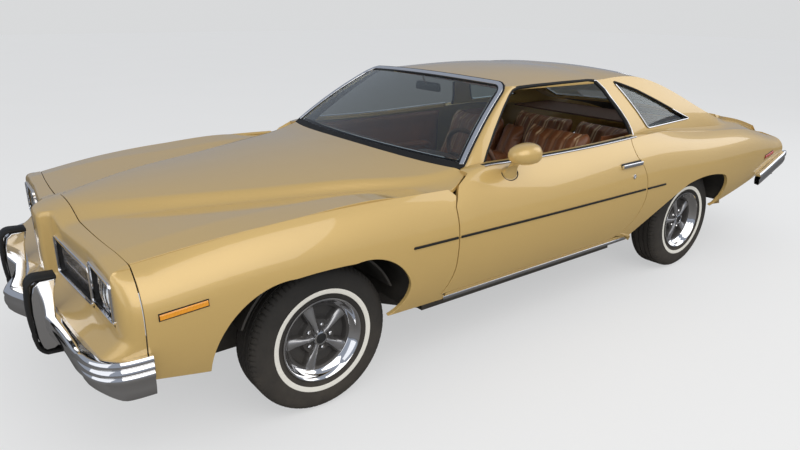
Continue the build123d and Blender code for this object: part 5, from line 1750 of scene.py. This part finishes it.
# %% Tail
def tail_column(y, z):
    """Tail surface between the quarters: slightly bowed across the car."""
    return tail_x - .004 - .006 * (1 - (y / .81) ** 2) + .020 * np.clip((.70 - z) / .1, 0, 1)


def make_tail_lamps():
    """Long lamps, each a red lens in a bright rim with three bright bars across it."""
    for name, grow, out, lens, slot, nodes in (
            ("lamp_rim", .010, .004, chrome, "chrome_trim", ()),
            ("tail_lamp", 0, .010, red_lens, "red_lens", ["tail_lamps"])):
        corners = [(.335 - grow, .672 - grow), (.770 + grow, .672 - grow),
                   (.760 + grow, .748 + grow), (.335 - grow, .756 + grow)]
        loop = evenly(rounded(corners, .014), 90, closed=True)
        middle = loop.mean(0)
        rings = []
        for share, push in ((1, -.006), (1, out - .003), (.985, out), (.5, out + .001), (.02, out + .001)):
            flat = middle + (loop - middle) * share
            rings.append(np.stack([tail_column(flat[:, 0], flat[:, 1]) - push, flat[:, 0], flat[:, 1]], 1))
        pair(f"{name}_*", [sheet(np.stack(rings), False, True), fan(rings[-1])], "body", lens,
             slot=slot, replaces=nodes, sharp=35, fix=True)
    bars = [box_part((tail_x - .0265, tail_x - .018), (.345, .762), (z - .0022, z + .0022))
            for z in (.692, .712, .732)]
    pair("lamp_bars_*", bars, "body", chrome, fix=True)


def make_tail():
    share, t = np.linspace(-1, 1, 61)[None], np.linspace(0, 1, 12)[:, None]
    top = np.interp(np.abs(share), [0, .85, .87, 1], [.822, .797, .799, .775])
    z = .640 + (top - .640) * t
    y = share * (flank(np.full(z.shape, tail_x), np.minimum(z, .775), REAR_ROWS) - .004)
    dress("tail_skin", [sheet(np.stack([tail_column(y, z), y, z], -1))], "body",
          replaces=["tail_panel"], thick=-.006, toward=(-1, 0, 0))
    under = points_of(tail_x + .030 + .03 * t, y[:1], .500 + .150 * (1 - t))
    piece("tail_valance", [sheet(under)], "body", black_paint, thick=.004, toward=(-1, 0, 0))
    plate = [box_part((tail_x - .034, tail_x - .030), (-.152, .152), (.560, .712))]
    piece("blank_plate", plate, "body", stainless, bevel=.002, fix=True)


# %% Liners in the wheel arches
def make_liners():
    """Dark inner walls of the arches: a band that follows each arch's edge inwards, clear of
    the wheel also when it is steered, and an upright wall behind the wheel."""
    for name, arch, rows, inner, axle, clear in (
            ("front", FRONT_ARCH, FRONT_ROWS, .470, front_axle, .425),
            ("rear", REAR_ARCH, REAR_ROWS, .643, rear_axle, .365)):
        loop = evenly(arch, 60)
        edge = on_side(loop[:, 0], loop[:, 1], rows)
        edge[:, 1] -= .016
        away = (edge - (axle, 0, hub_z)) * (1, 0, 1)
        far = np.linalg.norm(away, axis=1, keepdims=True)
        away /= far
        least = .370 + (clear - .370) * away[:, :1] ** 2
        steps = []
        for share, push in ((0, .004), (.04, .010), (.12, .020), (.5, .030), (1.0, .030)):
            ring = edge + away * (np.maximum(far + push, least if share else 0) - far)
            ring[:, 1] = edge[:, 1] + (inner - edge[:, 1]) * share
            steps.append(ring)
        low = steps[-1] * (1, 1, 0) + (0, 0, .30)
        pair(f"arch_liner_{name}_*", [sheet(np.stack(steps)), sheet(np.stack([steps[-1], low]))],
             "body", black_paint, sharp=60)


make_markers()
make_rub_strips()
make_handles()
make_door_mirror()
make_rocker_trim()
make_tail_lamps()
make_tail()
make_liners()

# %% [markdown]
# Last come the finishes of the solids that are carried over as they are, the camera at the
# photograph's own place, and a pale studio: one large soft key light high on the driver's
# side, a broad weak fill, and a low rim behind. The floor takes the shadow.

# %% Finishes of the carried-over solids
PLAIN = {
    "black_underbody": ("firewall", "floor_pan", "trunk_floor", "rear_wheelhouses", "front_wheelhouses",
                        "frame", "front_arms", "rear_arms", "driveshaft", "radiator", "seat_frame",
                        "fuel_tank", "rear_springs", "rear_axle", "rear_rails"),
    "aged_steel": ("exhaust",), "engine_paint": ("engine",), "cast_alloy": ("gearbox",),
    "brake_iron": ("knuckle_left", "knuckle_right"),
}
kept = {thing.name: thing for thing in bpy.data.objects if thing.type == "MESH"}
for finish, names in PLAIN.items():
    for name in names:
        if name in kept:
            kept[name].data.materials.clear()
            kept[name].data.materials.append(bpy.data.materials[finish])


# %% Camera and studio
def stand(name, data, right, above, back, where):
    """Camera or light with its three axes and its place given in the car's frame."""
    thing = bpy.data.objects.new(name, data)
    bpy.context.scene.collection.objects.link(thing)
    matrix = np.eye(4)
    matrix[:3] = np.stack([right, above, back, where], 1)
    thing.matrix_world = Matrix(matrix.tolist())
    return thing


def make_camera():
    """Camera on the photograph's line of sight, worked out from the car's known sizes."""
    data = bpy.data.cameras.new("camera")
    data.sensor_width, data.lens = 36.0, 647.1 * 36.0 / 800.0
    yaw, pitch, roll = math.radians(-127.37), math.radians(-18.66), math.radians(0.56)
    ahead = np.array([math.cos(pitch) * math.cos(yaw), math.cos(pitch) * math.sin(yaw), math.sin(pitch)])
    right = np.cross(ahead, (0, 0, 1))
    right /= np.linalg.norm(right)
    above = np.cross(right, ahead)
    turned = math.cos(roll) * right + math.sin(roll) * above
    top = -math.sin(roll) * right + math.cos(roll) * above
    bpy.context.scene.camera = stand("camera", data, turned, top, -ahead, (2.771, 3.047, 1.704))


def make_light(name, place_at, aim, size, power, colour=(1, 1, 1)):
    """Square soft light that looks from its place towards a point."""
    data = bpy.data.lights.new(name, "AREA")
    data.size, data.energy, data.color = size, power, colour
    back = np.asarray(place_at, float) - np.asarray(aim, float)
    back /= np.linalg.norm(back)
    side = np.cross((0, 0, 1), back)
    side /= np.linalg.norm(side)
    stand(name, data, side, np.cross(back, side), back, place_at)


def make_studio():
    made = bpy.data.materials.new("studio_floor")
    made.use_nodes = True
    tree = made.node_tree
    shader = tree.nodes["Principled BSDF"]
    shader.inputs["Roughness"].default_value = 0.9
    soft = add_node(tree, "ShaderNodeTexNoise", {"Vector": place(tree), "Scale": 0.6})
    shade = mix_colours(tree, soft.outputs[0], (0.74, 0.74, 0.74, 1), (0.78, 0.78, 0.78, 1))
    path = add_node(tree, "ShaderNodeLightPath")
    shade = mix_colours(tree, path.outputs["Is Glossy Ray"], shade, (0.13, 0.125, 0.12, 1))
    tree.links.new(shade, shader.inputs["Base Color"])
    glow = add_node(tree, "ShaderNodeEmission", {"Color": (0.90, 0.905, 0.91, 1)})
    share = remap(tree, path.outputs["Is Camera Ray"], 0.0, 1.0, 0.0, 0.55)
    both = add_node(tree, "ShaderNodeMixShader", {0: share, 1: shader.outputs[0], 2: glow.outputs[0]})
    tree.links.new(both.outputs[0], tree.nodes["Material Output"].inputs["Surface"])
    mesh = bpy.data.meshes.new("studio_floor")
    mesh.from_pydata([(-40, -40, 0), (40, -40, 0), (40, 40, 0), (-40, 40, 0)], [], [(0, 1, 2, 3)])
    mesh.materials.append(made)
    floor = bpy.data.objects.new("studio_floor", mesh)
    bpy.context.scene.collection.objects.link(floor)
    world = bpy.data.worlds.new("studio")
    world.use_nodes = True
    tree = world.node_tree
    path = add_node(tree, "ShaderNodeLightPath")
    seen = mix_colours(tree, path.outputs["Is Camera Ray"], (0.80, 0.82, 0.85, 1), (0.92, 0.93, 0.94, 1))
    seen = mix_colours(tree, path.outputs["Is Glossy Ray"], seen, (0.40, 0.44, 0.52, 1))
    tree.links.new(seen, tree.nodes["Background"].inputs[0])
    tree.nodes["Background"].inputs[1].default_value = 0.75
    bpy.context.scene.world = world
    make_light("key_light", (1.6, 7.0, 5.8), (0, 0, 0.6), 8.0, 350.0, (1.0, 0.97, 0.92))
    make_light("fill_light", (8.0, 1.0, 4.0), (0.5, 0, 0.6), 7.0, 110.0)
    make_light("rim_light", (-6.5, 3.5, 5.0), (0, 0, 0.8), 5.0, 110.0)


make_camera()
make_studio()
bpy.context.scene.view_settings.view_transform = "Standard"
